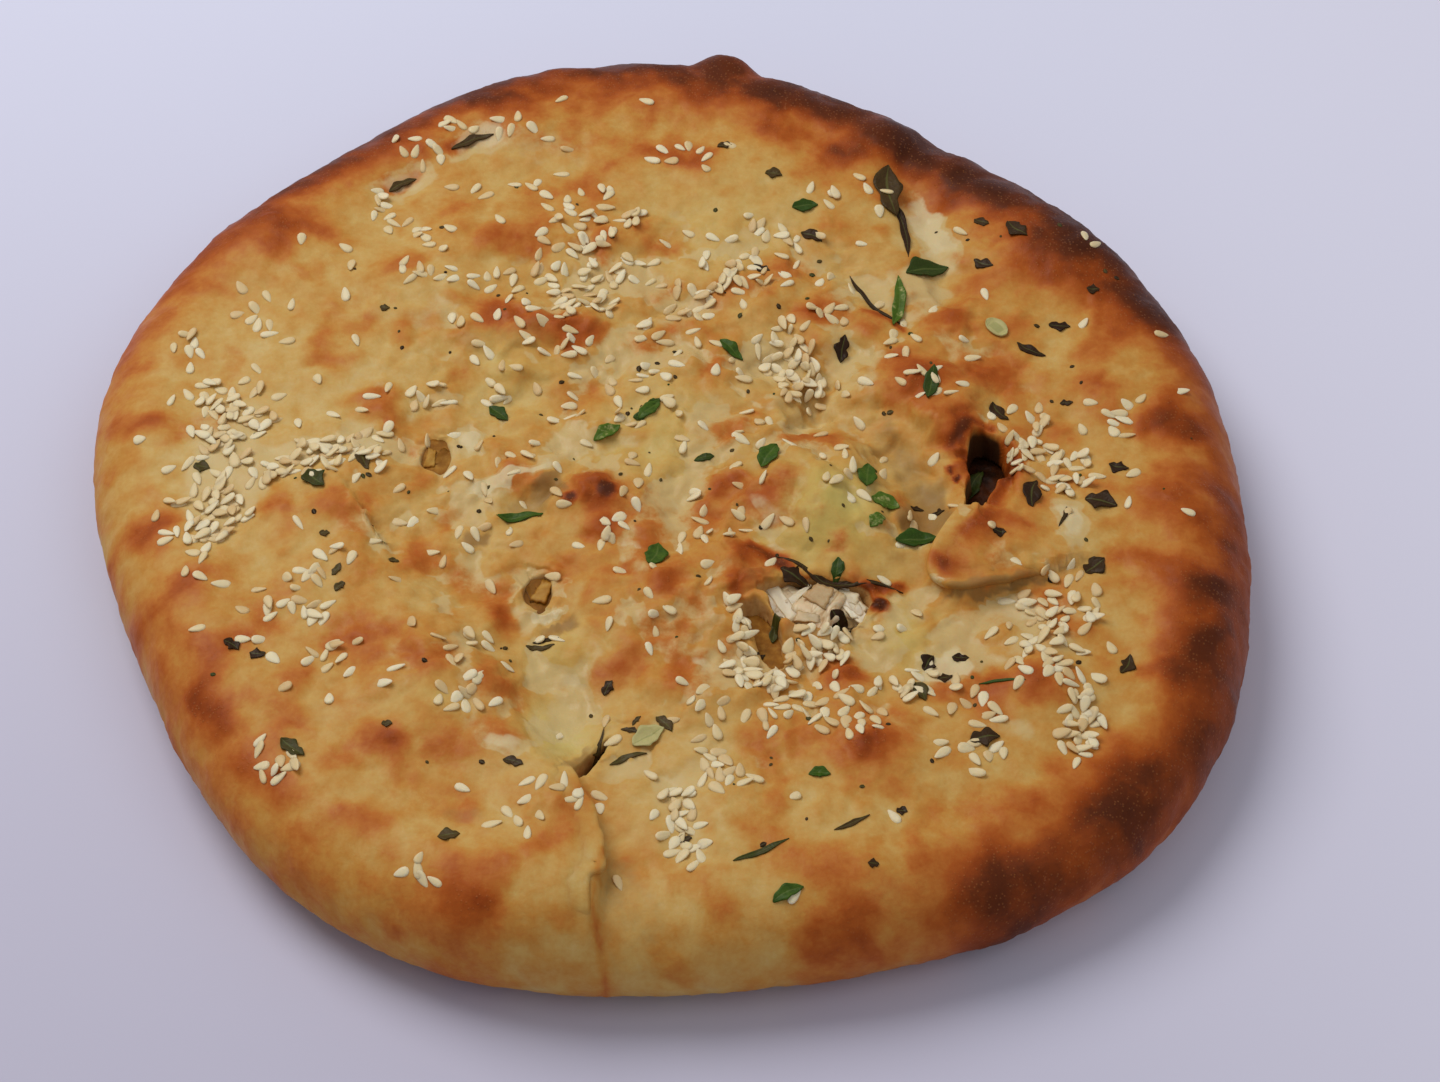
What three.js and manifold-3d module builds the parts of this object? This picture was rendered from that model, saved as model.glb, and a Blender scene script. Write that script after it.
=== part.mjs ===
// A round stuffed naan, baked brown on its high places, torn open in a few
// spots where the chicken and onion filling shows, strewn with sesame and herbs.
// Millimetres, +Z up. The origin is at the middle of the flat underside. +X is
// the right of the naan as it is served and -Y the side nearest the eater.
import * as THREE from 'three';
import { mergeVertices } from 'three/addons/utils/BufferGeometryUtils.js';
import Module from 'manifold-3d';

const manifoldLibrary = await Module();
manifoldLibrary.setup();
const { Manifold, Mesh: SolidMesh } = manifoldLibrary;

// Size of the whole bread
const MEAN_RADIUS = 115;
const TOP_HEIGHT = 25;
const WIDEST_HEIGHT = 11.5;
const TOP_ROUNDING = 15;
const BASE_ROUNDING = 13;

// How far the hand-stretched outline leaves the circle, by waves round the rim
const OUTLINE_WAVES = [
  { count: 1, cosine: 0, sine: 1.3 },
  { count: 2, cosine: 0, sine: -3.5 },
  { count: 3, cosine: 0.3, sine: -1.95 },
  { count: 4, cosine: -0.85, sine: -1.2 },
  { count: 5, cosine: -1.25, sine: 2.25 },
];
// Places where the rim is fuller than those waves alone would make it: direction, reach, rise
const FULLER_PLACES = [
  { angle: -90, reach: 30, rise: 6.5 },
  { angle: 106, reach: 12, rise: 1.6 },
];

// Fineness of the faceted solids
const TOP_RINGS = 21;
const SIDE_STEPS = 7;
const FILLING_RINGS = 9;

// Filling layer, and the room the dough leaves it
const FILLING_BASE = 8;
const FILLING_TOP = 15.5;
const FILLING_INSET = 18;
const FILLING_EDGE_SLOPE = 4;
const CLEARANCE = 0.35;

// Sesame and herbs
const SEED_LENGTH = 3.4;
const SEED_WIDTH = 2.1;
const SEED_THICKNESS = 1.3;
const SEED_SIDES = 4;
const SEED_RINGS = 3;
const SEED_TAPER = 0.38;
const SEED_SUNK = 0.22;
const SEED_SPACING = 3.1;
const SEED_TO_HERB = 2.6;
const SEED_TO_TEAR = 2.4;
const SEED_COUNT = 126;
const SEED_RANDOM_START = 20;
const LEAF_THICKNESS = 0.45;
const LEAF_ROWS = 6;
const LEAF_COLUMNS = 3;
const LEAF_TIP_WIDTH = 0.5;

const DEGREE = Math.PI / 180;

// Mounds and hollows of the top: centre, reach to each side, turn in degrees, rise
const MOUNDS = [
  { at: [29, -13], reach: [13, 17], turn: 8, rise: 4.6 }, // puffed bulge right of the middle
  { at: [60, -24], reach: [12, 8], turn: 20, rise: 2.6 }, // flap of dough below the right opening
  { at: [55, 9], reach: [6, 7], turn: 40, rise: 3 }, // scorched upper lip of the right opening
  { at: [68, -5], reach: [5, 10], turn: -8, rise: 2 }, // outer lip of the right opening
  { at: [-15, -10], reach: [8, 6], turn: 0, rise: 3.8 }, // brown blister left of the middle
  { at: [49, 18], reach: [9, 6], turn: 10, rise: 2.4 },
  { at: [12, -26], reach: [7, 9], turn: 20, rise: 2.2 },
  { at: [-1, -37], reach: [12, 8], turn: 35, rise: 1.8 },
  { at: [-83, 60], reach: [12, 10], turn: 40, rise: 1.4 },
  { at: [-40, 55], reach: [24, 9], turn: 18, rise: 1.6 },
  { at: [-28, 33], reach: [18, 6], turn: 6, rise: 2.2 },
  { at: [8, 82], reach: [26, 9], turn: 0, rise: 1.5 },
  { at: [77, 51], reach: [11, 9], turn: -40, rise: 1.8 },
  { at: [98, -15], reach: [8, 14], turn: 0, rise: 1.6 },
  { at: [99, -44], reach: [8, 15], turn: -10, rise: 1.8 },
  { at: [70, -58], reach: [8, 7], turn: 0, rise: 1.7 },
  { at: [37, -72], reach: [9, 7], turn: 0, rise: 1.7 },
  { at: [-50, -52], reach: [15, 11], turn: -40, rise: 1.7 },
  { at: [-35, -102], reach: [14, 9], turn: 0, rise: 1.6 },
  { at: [-70, -15], reach: [15, 8], turn: 10, rise: 1.2 },
  { at: [-88, -38], reach: [9, 14], turn: 15, rise: 1.2 },
  { at: [40, -100], reach: [18, 8], turn: 14, rise: 1.4 },
  { at: [20, 40], reach: [12, 8], turn: -20, rise: 1.5 },
  { at: [-46, 0], reach: [9, 10], turn: 0, rise: -1.8 }, // sunk round the left hole
  { at: [-25, -38], reach: [9, 12], turn: 0, rise: -1.8 }, // sunk round the middle hole
  { at: [-28, -13], reach: [8, 5], turn: 0, rise: -2.4 },
  { at: [-17, -60], reach: [10, 11], turn: -20, rise: -2.6 },
  { at: [-57, 75], reach: [7, 5], turn: 35, rise: -1.8 },
  { at: [-42, 87], reach: [8, 5], turn: 35, rise: -1.6 },
  { at: [-30, 14], reach: [16, 7], turn: 10, rise: -1.8 },
  { at: [-85, -3], reach: [12, 18], turn: 0, rise: -1.2 },
  { at: [76, -1], reach: [10, 12], turn: 30, rise: -1.6 },
  { at: [20, -52], reach: [14, 8], turn: 0, rise: -1.6 },
  { at: [66, 28], reach: [12, 8], turn: 0, rise: -1.2 },
];

// Long hollows of the top, and ridges where the depth is negative: path, half width, depth
const GROOVES = [
  { path: [[-52, 84], [-30, 95], [0, 99], [30, 96], [60, 81], [84, 54]], half: 8, depth: -1.8 }, // far rim
  { path: [[30, 12], [42, 6], [47, -6], [50, -18]], half: 5.5, depth: 3.6 }, // beside the bulge
  { path: [[49, 80], [53, 62], [58, 44]], half: 5.5, depth: 2.8 }, // pale opening, upper right
  { path: [[20, 24], [28, 12], [34, 25]], half: 5, depth: 3.4 }, // pocket that holds seeds
  { path: [[36, 50], [47, 35]], half: 4.5, depth: 1.6 },
  { path: [[15, -22], [30, -34], [45, -35]], half: 5, depth: 1.4 }, // under the bulge
  { path: [[8, -72], [2, -82], [4, -94]], half: 4.5, depth: 1.3 },
];

// Edges where one sheet of dough lies over the next: the left of the path is higher
const FOLD_EDGES = [
  { // front fold, from left of the middle down to the near rim
    path: [[-9.5, -121], [-12.5, -104], [-12, -92], [-17, -79], [-29, -58], [-43, -39], [-52, -26]],
    rise: 2.8, drop: 1.6, reach: 17, sharpness: 1.3,
  },
  { // near edge of the flap below the right opening
    path: [[58, -14], [51, -25], [48.5, -33], [56, -37], [72, -31]],
    rise: 2, drop: 1, reach: 9, sharpness: 1.2,
  },
];

// Places torn through the upper crust: half width, half length, turn in degrees, and
// how far the filling below is pushed up into them
const TEARS = [
  { at: [28.8, -37.8], half: [13, 6.8], turn: -6, rise: 6.6 }, // torn middle, full of chicken
  { at: [18, -45], half: [2.8, 8], turn: 21, rise: 3.2 }, // slot that runs down from it
  { at: [61, -5.5], half: [3.7, 9.4], turn: -10, rise: 3.4 }, // dark opening at the right
  { at: [-14, -74], half: [1.5, 6], turn: -31, rise: 2 }, // slit at the front fold
  { at: [-46, 0], half: [3.4, 4.3], turn: 0, rise: 5 }, // hole with onion, left
  { at: [-25, -37.5], half: [2.8, 5.6], turn: 0, rise: 4.5 }, // hole with onion, middle
];
const TEAR_CORNERS = 14;
const TEAR_FROM = 12;
const TEAR_TO = 45;

// Blisters that stand out of the side: centre, half sizes
const RIM_BLISTERS = [
  { at: [11, 109.5, 19], half: [6.6, 6.4, 5.6] }, // black blister at the back
  { at: [-23, 107, 18], half: [6, 4.5, 4.5] },
  { at: [-5, 108, 18], half: [6, 4.5, 4] },
  { at: [-106, 35, 15], half: [4.5, 6, 5] },
];

// Chicken in the torn middle: centre, half sizes, turn in degrees
const CHICKEN_PIECES = [
  { at: [22.2, -37], half: [4.1, 3.7, 1.9], turn: 20 },
  { at: [33.8, -37.2], half: [4.9, 2.3, 1.8], turn: -42 },
  { at: [28.8, -38.8], half: [2.8, 1.8, 1.4], turn: 62 },
];

// Onion that shows in the holes and the slot: centre, length, width, turn in degrees
const ONION_PIECES = [
  { at: [-46, 0], length: 6, width: 3.6, turn: 80 },
  { at: [-25, -37], length: 8, width: 2.8, turn: 95 },
  { at: [18, -46], length: 10, width: 3, turn: 111 },
];

// Herb leaves as large as they are shown: centre, length, width, turn in degrees, wave
const HERBS = [
  { at: [46.6, 66], length: 25, width: 4.2, turn: -83, wave: 0.9 }, // long dark leaf
  { at: [52.5, 50.6], length: 9.5, width: 5, turn: 20, wave: 0.8 },
  { at: [45.6, 41], length: 14, width: 2.6, turn: 84, wave: 0.4 }, // stem with its leaf
  { at: [65.7, 32.7], length: 5.6, width: 4.2, turn: 60, wave: 0.7 },
  { at: [51.6, 15.6], length: 9, width: 3, turn: 80, wave: 0.5 },
  { at: [12, 27.6], length: 6.5, width: 2.6, turn: -45, wave: 0.4 },
  { at: [27.5, 67.5], length: 5.5, width: 3.2, turn: 10, wave: 0.4 },
  { at: [-34.4, 11.7], length: 6, width: 2.8, turn: -50, wave: 0.4 },
  { at: [-12.6, 4.6], length: 6, width: 3, turn: 30, wave: 0.5 },
  { at: [-4.4, 10.6], length: 6.5, width: 3, turn: 50, wave: 0.5 },
  { at: [19.3, -4], length: 6.5, width: 4, turn: 60, wave: 0.9 },
  { at: [38.3, -8.6], length: 6.5, width: 3.8, turn: 85, wave: 0.6 },
  { at: [41.6, -15], length: 5.6, width: 3.8, turn: -15, wave: 0.6 },
  { at: [47.4, -23], length: 8.5, width: 4.6, turn: 15, wave: 0.9 },
  { at: [-68.6, -9], length: 5.8, width: 3.8, turn: -55, wave: 0.3 },
  { at: [-29, -15.8], length: 9, width: 2.4, turn: 5, wave: 0.4 },
  { at: [-2.9, -27.5], length: 6.4, width: 4.2, turn: 75, wave: 0.5 },
  { at: [21.7, -104], length: 6, width: 2.6, turn: 25, wave: 0.3 },
  { at: [-68, -72.5], length: 6, width: 2.8, turn: -40, wave: 0.3 },
  { at: [-3.2, -68.5], length: 8, width: 5.4, turn: 40, wave: 0.6 },
  { at: [83.4, -13.8], length: 6.4, width: 4, turn: -20, wave: 0.6 },
  { at: [34, -46.5], length: 6, width: 3.6, turn: -30, wave: 0.4 },
  { at: [58, -70.4], length: 5.6, width: 3.4, turn: 10, wave: 0.4 },
  { at: [70.6, -14], length: 7, width: 3.4, turn: 80, wave: 0.4 },
  { at: [71.3, 59], length: 6.4, width: 3.4, turn: -55, wave: 0.4 },
];
const HERB_IN_OPENING = { at: [60.6, -5.6], length: 9, width: 3.4, turn: 76, wave: 0.5 };

// Where the sesame lies thick: centre, spread to each side, turn in degrees, share of all
const SEED_DRIFTS = [
  { at: [-87, 9], spread: [6, 8], turn: 0, share: 8 },
  { at: [-87, -17], spread: [6, 8], turn: 0, share: 8 },
  { at: [-69, -2], spread: [9, 3.5], turn: 15, share: 7 },
  { at: [-56, 62], spread: [9, 3], turn: -42, share: 4 },
  { at: [-17, 55], spread: [9, 10], turn: 0, share: 9 },
  { at: [-19, 41], spread: [6, 4], turn: 0, share: 4 },
  { at: [-40, 46], spread: [6, 4], turn: 0, share: 3 },
  { at: [7, 44], spread: [9, 4], turn: 35, share: 6 },
  { at: [26, 22], spread: [3.5, 6], turn: 20, share: 7 },
  { at: [46, 24], spread: [6, 7], turn: 0, share: 3 },
  { at: [75, -2], spread: [7, 9], turn: 30, share: 8 },
  { at: [71, -45], spread: [7, 8], turn: 0, share: 9 },
  { at: [76, -66], spread: [4, 6], turn: 0, share: 5 },
  { at: [40, -61], spread: [9, 5], turn: 0, share: 6 },
  { at: [13, -50], spread: [3, 6], turn: 0, share: 4 },
  { at: [27, -53], spread: [8, 3], turn: 10, share: 4 },
  { at: [5, -83], spread: [5, 8], turn: -25, share: 6 },
  { at: [-70, -77], spread: [4, 3], turn: 0, share: 2 },
  { at: [-46, -102], spread: [4, 3], turn: 0, share: 2 },
  { at: [-66, -42], spread: [8, 8], turn: 0, share: 5 },
  { at: [-28, -86], spread: [9, 6], turn: 0, share: 4 },
  { at: [20, 68], spread: [16, 9], turn: 0, share: 6 },
  { at: [0, 0], spread: [52, 52], turn: 0, share: 26 }, // single seeds everywhere
];
const SEED_RIM_MARGIN = 10;

// Colours, roughness
const FINISHES = {
  bread: { color: 0xc8975a, roughness: 0.5 },
  filling: { color: 0xb98f5c, roughness: 0.6 },
  chicken: { color: 0xdcb892, roughness: 0.5 },
  onion: { color: 0xa8824a, roughness: 0.35 },
  herb: { color: 0x2f4a16, roughness: 0.5 },
};

// A seeded source of random numbers from 0 to 1, the same on every run
function seededRandom(start) {
  let state = start;
  return () => {
    state = (state + 0x6d2b79f5) | 0;
    let mixed = Math.imul(state ^ (state >>> 15), 1 | state);
    mixed = (mixed + Math.imul(mixed ^ (mixed >>> 7), 61 | mixed)) ^ mixed;
    return ((mixed ^ (mixed >>> 14)) >>> 0) / 4294967296;
  };
}

// Places of a plan point in a feature's own turned axes
function turned(x, y, at, turn) {
  const cosine = Math.cos(turn * DEGREE);
  const sine = Math.sin(turn * DEGREE);
  const dx = x - at[0];
  const dy = y - at[1];
  return [dx * cosine + dy * sine, -dx * sine + dy * cosine];
}

// The rim's distance from the middle in one direction
function outlineRadius(angle) {
  let radius = MEAN_RADIUS;
  for (const wave of OUTLINE_WAVES) {
    radius += wave.cosine * Math.cos(wave.count * angle) + wave.sine * Math.sin(wave.count * angle);
  }
  for (const place of FULLER_PLACES) {
    const turnFromPlace = angle / DEGREE - place.angle;
    const away = (((turnFromPlace + 180) % 360) + 360) % 360 - 180;
    radius += place.rise * Math.exp(-((away / place.reach) ** 2));
  }
  return radius;
}

function moundRise(x, y, mound) {
  const [u, v] = turned(x, y, mound.at, mound.turn);
  return mound.rise * Math.exp(-((u / mound.reach[0]) ** 2) - (v / mound.reach[1]) ** 2);
}

// Distance from a point to a path, with the side of the path it lies on (left is positive)
function distanceToPath(x, y, path) {
  let nearest = Infinity;
  let side = 1;
  for (let i = 0; i + 1 < path.length; i += 1) {
    const [ax, ay] = path[i];
    const [bx, by] = path[i + 1];
    const along = [bx - ax, by - ay];
    const lengthSquared = along[0] ** 2 + along[1] ** 2;
    const share = ((x - ax) * along[0] + (y - ay) * along[1]) / lengthSquared;
    const clamped = Math.min(1, Math.max(0, share));
    const dx = x - ax - clamped * along[0];
    const dy = y - ay - clamped * along[1];
    const distance = Math.hypot(dx, dy);
    if (distance < nearest) {
      nearest = distance;
      side = along[0] * dy - along[1] * dx >= 0 ? 1 : -1;
    }
  }
  return { distance: nearest, side };
}

function grooveRise(x, y, groove) {
  const { distance } = distanceToPath(x, y, groove.path);
  return -groove.depth * Math.exp(-((distance / groove.half) ** 2));
}

function foldRise(x, y, fold) {
  const { distance, side } = distanceToPath(x, y, fold.path);
  const over = 0.5 + 0.5 * Math.tanh((side * distance) / fold.sharpness);
  const fade = Math.exp(-((distance / fold.reach) ** 2));
  return fade * (fold.rise * over - fold.drop * (1 - over));
}

// The unevenness that stretching by hand and baking leave all over the top
function dimples(x, y) {
  const broad = Math.sin(x / 15 + 1.7 * Math.sin(y / 24)) * Math.cos(y / 13 + 1.2 * Math.sin(x / 19));
  const fine = Math.sin(x / 6.5 + y / 11 + 2) * Math.cos(y / 7 - x / 14);
  return 0.9 * broad + 0.45 * fine;
}

// Height of the upper crust over a point of the plan
function topHeight(x, y) {
  let height = TOP_HEIGHT + dimples(x, y);
  for (const mound of MOUNDS) height += moundRise(x, y, mound);
  for (const groove of GROOVES) height += grooveRise(x, y, groove);
  for (const fold of FOLD_EDGES) height += foldRise(x, y, fold);
  return height;
}

// Triangles of a disc whose ring k has 6k points, wound to face up
function discFaces(rings) {
  const firstOf = (ring) => (ring === 0 ? 0 : 1 + 3 * ring * (ring - 1));
  const point = (ring, step) => (ring === 0 ? 0 : firstOf(ring) + (step % (6 * ring)));
  const faces = [];
  for (let ring = 1; ring <= rings; ring += 1) {
    for (let sextant = 0; sextant < 6; sextant += 1) {
      for (let step = 0; step < ring; step += 1) {
        const outer = sextant * ring + step;
        const inner = sextant * (ring - 1) + step;
        faces.push([point(ring, outer), point(ring, outer + 1), point(ring - 1, inner)]);
        if (step + 1 < ring) {
          faces.push([point(ring - 1, inner), point(ring, outer + 1), point(ring - 1, inner + 1)]);
        }
      }
    }
  }
  return faces;
}

// Points of that disc, reaching out to edge(angle), at the height that lift(x, y) gives
function discPoints(rings, edge, lift) {
  const points = [[0, 0, lift(0, 0)]];
  for (let ring = 1; ring <= rings; ring += 1) {
    for (let step = 0; step < 6 * ring; step += 1) {
      const angle = (step / (6 * ring)) * 2 * Math.PI;
      const reach = (ring / rings) * edge(angle);
      const x = reach * Math.cos(angle);
      const y = reach * Math.sin(angle);
      points.push([x, y, lift(x, y)]);
    }
  }
  return points;
}

// Closes a disc downwards: rows of points round the side, then a flat base
function closeDisc(points, faces, rings, rows) {
  const around = 6 * rings;
  let upper = points.length - around;
  for (const row of rows) {
    const lower = points.length;
    for (const spot of row) points.push(spot);
    for (let step = 0; step < around; step += 1) {
      const next = (step + 1) % around;
      faces.push([upper + step, lower + step, lower + next]);
      faces.push([upper + step, lower + next, upper + next]);
    }
    upper = lower;
  }
  const middle = points.length;
  points.push([0, 0, points[upper][2]]);
  for (let step = 0; step < around; step += 1) {
    faces.push([upper + step, middle, upper + ((step + 1) % around)]);
  }
}

function solidFrom(points, faces) {
  const vertProperties = new Float32Array(points.flat());
  const triVerts = new Uint32Array(faces.flat());
  return new Manifold(new SolidMesh({ numProp: 3, vertProperties, triVerts }));
}

function solidFromGeometry(geometry) {
  const bare = geometry.clone();
  bare.deleteAttribute('normal');
  bare.deleteAttribute('uv');
  const merged = mergeVertices(bare, 1e-4);
  const vertProperties = new Float32Array(merged.attributes.position.array);
  const triVerts = new Uint32Array(merged.index.array);
  return new Manifold(new SolidMesh({ numProp: 3, vertProperties, triVerts }));
}

function geometryFrom(solid) {
  const mesh = solid.getMesh();
  const geometry = new THREE.BufferGeometry();
  geometry.setAttribute('position', new THREE.BufferAttribute(mesh.vertProperties, 3));
  geometry.setIndex(new THREE.BufferAttribute(mesh.triVerts, 1));
  geometry.computeVertexNormals();
  return geometry;
}

// Keeps the largest body of a solid and drops loose scraps
function largestBody(solid) {
  const bodies = solid.decompose();
  bodies.sort((one, other) => other.volume() - one.volume());
  return bodies[0];
}

// The dough before it is torn or strewn: uneven top, rounded side, flat base
function bareBread() {
  const edge = (angle) => outlineRadius(angle) - TOP_ROUNDING;
  const points = discPoints(TOP_RINGS, edge, topHeight);
  const faces = discFaces(TOP_RINGS);
  const around = 6 * TOP_RINGS;
  const shoulder = points.slice(points.length - around);
  const rows = [];
  for (let step = 1; step <= SIDE_STEPS; step += 1) {
    const bend = (0.5 - step / SIDE_STEPS) * Math.PI;
    const upper = bend > 0;
    const rounding = upper ? TOP_ROUNDING : BASE_ROUNDING;
    rows.push(shoulder.map((spot) => {
      const angle = Math.atan2(spot[1], spot[0]);
      const reach = outlineRadius(angle) - rounding * (1 - Math.cos(bend));
      const drop = upper ? spot[2] - WIDEST_HEIGHT : WIDEST_HEIGHT;
      const height = step === SIDE_STEPS ? 0 : WIDEST_HEIGHT + drop * Math.sin(bend);
      return [reach * Math.cos(angle), reach * Math.sin(angle), height];
    }));
  }
  closeDisc(points, faces, TOP_RINGS, rows);
  return solidFrom(points, faces);
}

function blister(spec) {
  const geometry = new THREE.SphereGeometry(1, 9, 6);
  geometry.scale(...spec.half);
  geometry.translate(...spec.at);
  return solidFromGeometry(geometry);
}

// How deep inside a tear a point of the plan is: 1 at its middle, 0 at its edge and beyond
function insideTear(x, y, tear, margin = 0) {
  const [u, v] = turned(x, y, tear.at, tear.turn);
  const share = Math.hypot(u / (tear.half[0] + margin), v / (tear.half[1] + margin));
  return Math.max(0, 1 - share);
}

// Height of the filling: lumpy, and pushed up where the crust above it is torn
function fillingHeight(x, y) {
  const lumps = 0.7 * Math.sin(x / 5.5 + 1) * Math.cos(y / 6.5) + 0.5 * Math.sin((x + y) / 4.2);
  let height = FILLING_TOP + lumps;
  for (const tear of TEARS) {
    const [u, v] = turned(x, y, tear.at, tear.turn);
    const spread = ((u / (tear.half[0] + 6)) ** 2 + (v / (tear.half[1] + 6)) ** 2);
    height += tear.rise * Math.exp(-2 * spread);
  }
  return height;
}

// The filling layer, or with a clearance the room it lies in
function fillingSolid(clearance) {
  const edge = (angle) => outlineRadius(angle) - FILLING_INSET - FILLING_EDGE_SLOPE + clearance;
  const points = discPoints(FILLING_RINGS, edge, (x, y) => fillingHeight(x, y) + clearance);
  const faces = discFaces(FILLING_RINGS);
  const around = 6 * FILLING_RINGS;
  const shoulder = points.slice(points.length - around);
  const foot = shoulder.map((spot) => {
    const angle = Math.atan2(spot[1], spot[0]);
    const reach = outlineRadius(angle) - FILLING_INSET + clearance;
    return [reach * Math.cos(angle), reach * Math.sin(angle), FILLING_BASE - clearance];
  });
  closeDisc(points, faces, FILLING_RINGS, [foot]);
  return solidFrom(points, faces);
}

// An upright shaft with a ragged outline that opens the crust down to the filling
function tearShaft(tear, order) {
  const shape = new THREE.Shape();
  for (let corner = 0; corner < TEAR_CORNERS; corner += 1) {
    const angle = (corner / TEAR_CORNERS) * 2 * Math.PI;
    const ragged = 1 + 0.1 * Math.sin(3 * angle + order) + 0.07 * Math.sin(5 * angle + 2 * order);
    const u = tear.half[0] * ragged * Math.cos(angle);
    const v = tear.half[1] * ragged * Math.sin(angle);
    if (corner === 0) shape.moveTo(u, v);
    else shape.lineTo(u, v);
  }
  const geometry = new THREE.ExtrudeGeometry(shape, { depth: TEAR_TO - TEAR_FROM, bevelEnabled: false });
  geometry.rotateZ(tear.turn * DEGREE);
  geometry.translate(tear.at[0], tear.at[1], TEAR_FROM);
  return solidFromGeometry(geometry);
}

// Finds the height of a solid's upper face under a point of the plan
function surfaceFinder(geometry) {
  const mesh = new THREE.Mesh(geometry, new THREE.MeshStandardMaterial({ side: THREE.DoubleSide }));
  const caster = new THREE.Raycaster();
  const down = new THREE.Vector3(0, 0, -1);
  return (x, y) => {
    caster.set(new THREE.Vector3(x, y, TEAR_TO + 10), down);
    const hit = caster.intersectObject(mesh)[0];
    return hit ? { height: hit.point.z, normal: hit.face.normal.clone() } : null;
  };
}

// One sesame seed: flat, blunt at one end and pointed at the other
function seedSolid(spot, turn) {
  const geometry = new THREE.SphereGeometry(1, SEED_SIDES, SEED_RINGS);
  geometry.rotateZ(Math.PI / 2);
  const position = geometry.attributes.position;
  for (let i = 0; i < position.count; i += 1) {
    const slim = 1 - SEED_TAPER * position.getX(i);
    position.setXYZ(
      i,
      (position.getX(i) * SEED_LENGTH) / 2,
      (position.getY(i) * slim * SEED_WIDTH) / 2,
      (position.getZ(i) * slim * SEED_THICKNESS) / 2,
    );
  }
  geometry.rotateZ(turn);
  const lean = new THREE.Quaternion().setFromUnitVectors(new THREE.Vector3(0, 0, 1), spot.normal);
  geometry.applyQuaternion(lean);
  geometry.translate(spot.x, spot.y, spot.height + SEED_THICKNESS * (0.5 - SEED_SUNK) * 0.6);
  return solidFromGeometry(geometry);
}

function nearLeaf(x, y, leaf, margin) {
  const [u, v] = turned(x, y, leaf.at, leaf.turn);
  return Math.abs(u) < leaf.length / 2 + margin && Math.abs(v) < leaf.width / 2 + margin;
}

// Places of the seeds: thick in the drifts, apart from each other, the herbs and the tears
function seedSpots(surfaceAt) {
  const random = seededRandom(SEED_RANDOM_START);
  const bell = () => random() + random() + random() + random() - 2;
  const shares = SEED_DRIFTS.reduce((sum, drift) => sum + drift.share, 0);
  const spots = [];
  for (const drift of SEED_DRIFTS) {
    const wanted = Math.round((drift.share / shares) * SEED_COUNT);
    let placed = 0;
    for (let attempt = 0; attempt < 40 * wanted && placed < wanted; attempt += 1) {
      const u = bell() * drift.spread[0] * 1.7;
      const v = bell() * drift.spread[1] * 1.7;
      const [dx, dy] = turned(u, v, [0, 0], -drift.turn);
      const x = drift.at[0] + dx;
      const y = drift.at[1] + dy;
      const turn = random() * 2 * Math.PI;
      const limit = outlineRadius(Math.atan2(y, x)) - SEED_RIM_MARGIN;
      const crowded = spots.some((other) => Math.hypot(other.x - x, other.y - y) < SEED_SPACING);
      const onHerb = HERBS.some((leaf) => nearLeaf(x, y, leaf, SEED_TO_HERB));
      const inTear = TEARS.some((tear) => insideTear(x, y, tear, SEED_TO_TEAR) > 0);
      if (Math.hypot(x, y) > limit || crowded || onHerb || inTear) continue;
      const surface = surfaceAt(x, y);
      spots.push({ x, y, turn, ...surface });
      placed += 1;
    }
  }
  return spots;
}

function breadSolid() {
  let dough = Manifold.union([bareBread(), ...RIM_BLISTERS.map(blister)]);
  dough = dough.subtract(fillingSolid(CLEARANCE));
  dough = dough.subtract(Manifold.union(TEARS.map(tearShaft)));
  dough = largestBody(dough);
  const surfaceAt = surfaceFinder(geometryFrom(dough));
  const seeds = seedSpots(surfaceAt).map((spot) => seedSolid(spot, spot.turn));
  return largestBody(Manifold.union([dough, ...seeds]));
}

// A thin wavy sheet with pointed ends, draped over what surfaceAt finds below it
function drapedLeaf(spec, surfaceAt, thickness) {
  const upper = [];
  for (let row = 0; row < LEAF_ROWS; row += 1) {
    const share = row / (LEAF_ROWS - 1);
    const belly = Math.sin(Math.PI * share) ** 0.8;
    const halfWidth = Math.max(LEAF_TIP_WIDTH, spec.width * belly) / 2;
    for (let column = 0; column < LEAF_COLUMNS; column += 1) {
      const across = (2 * column) / (LEAF_COLUMNS - 1) - 1;
      const u = (share - 0.5) * spec.length;
      const v = across * halfWidth;
      const [dx, dy] = turned(u, v, [0, 0], -spec.turn);
      const x = spec.at[0] + dx;
      const y = spec.at[1] + dy;
      const ripple = spec.wave * (0.5 + 0.5 * Math.sin(5 * share + 2.2 * across));
      upper.push([x, y, highestNear(x, y, surfaceAt) + CLEARANCE + thickness + ripple]);
    }
  }
  const lower = upper.map(([x, y, z]) => [x, y, z - thickness]);
  return solidFrom([...upper, ...lower], sheetFaces(LEAF_ROWS, LEAF_COLUMNS));
}

// The highest of the surface at a point and close round it
function highestNear(x, y, surfaceAt) {
  let highest = -Infinity;
  for (const [dx, dy] of [[0, 0], [0.9, 0], [-0.9, 0], [0, 0.9], [0, -0.9]]) {
    const surface = surfaceAt(x + dx, y + dy);
    if (surface && surface.height > highest) highest = surface.height;
  }
  return highest;
}

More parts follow.
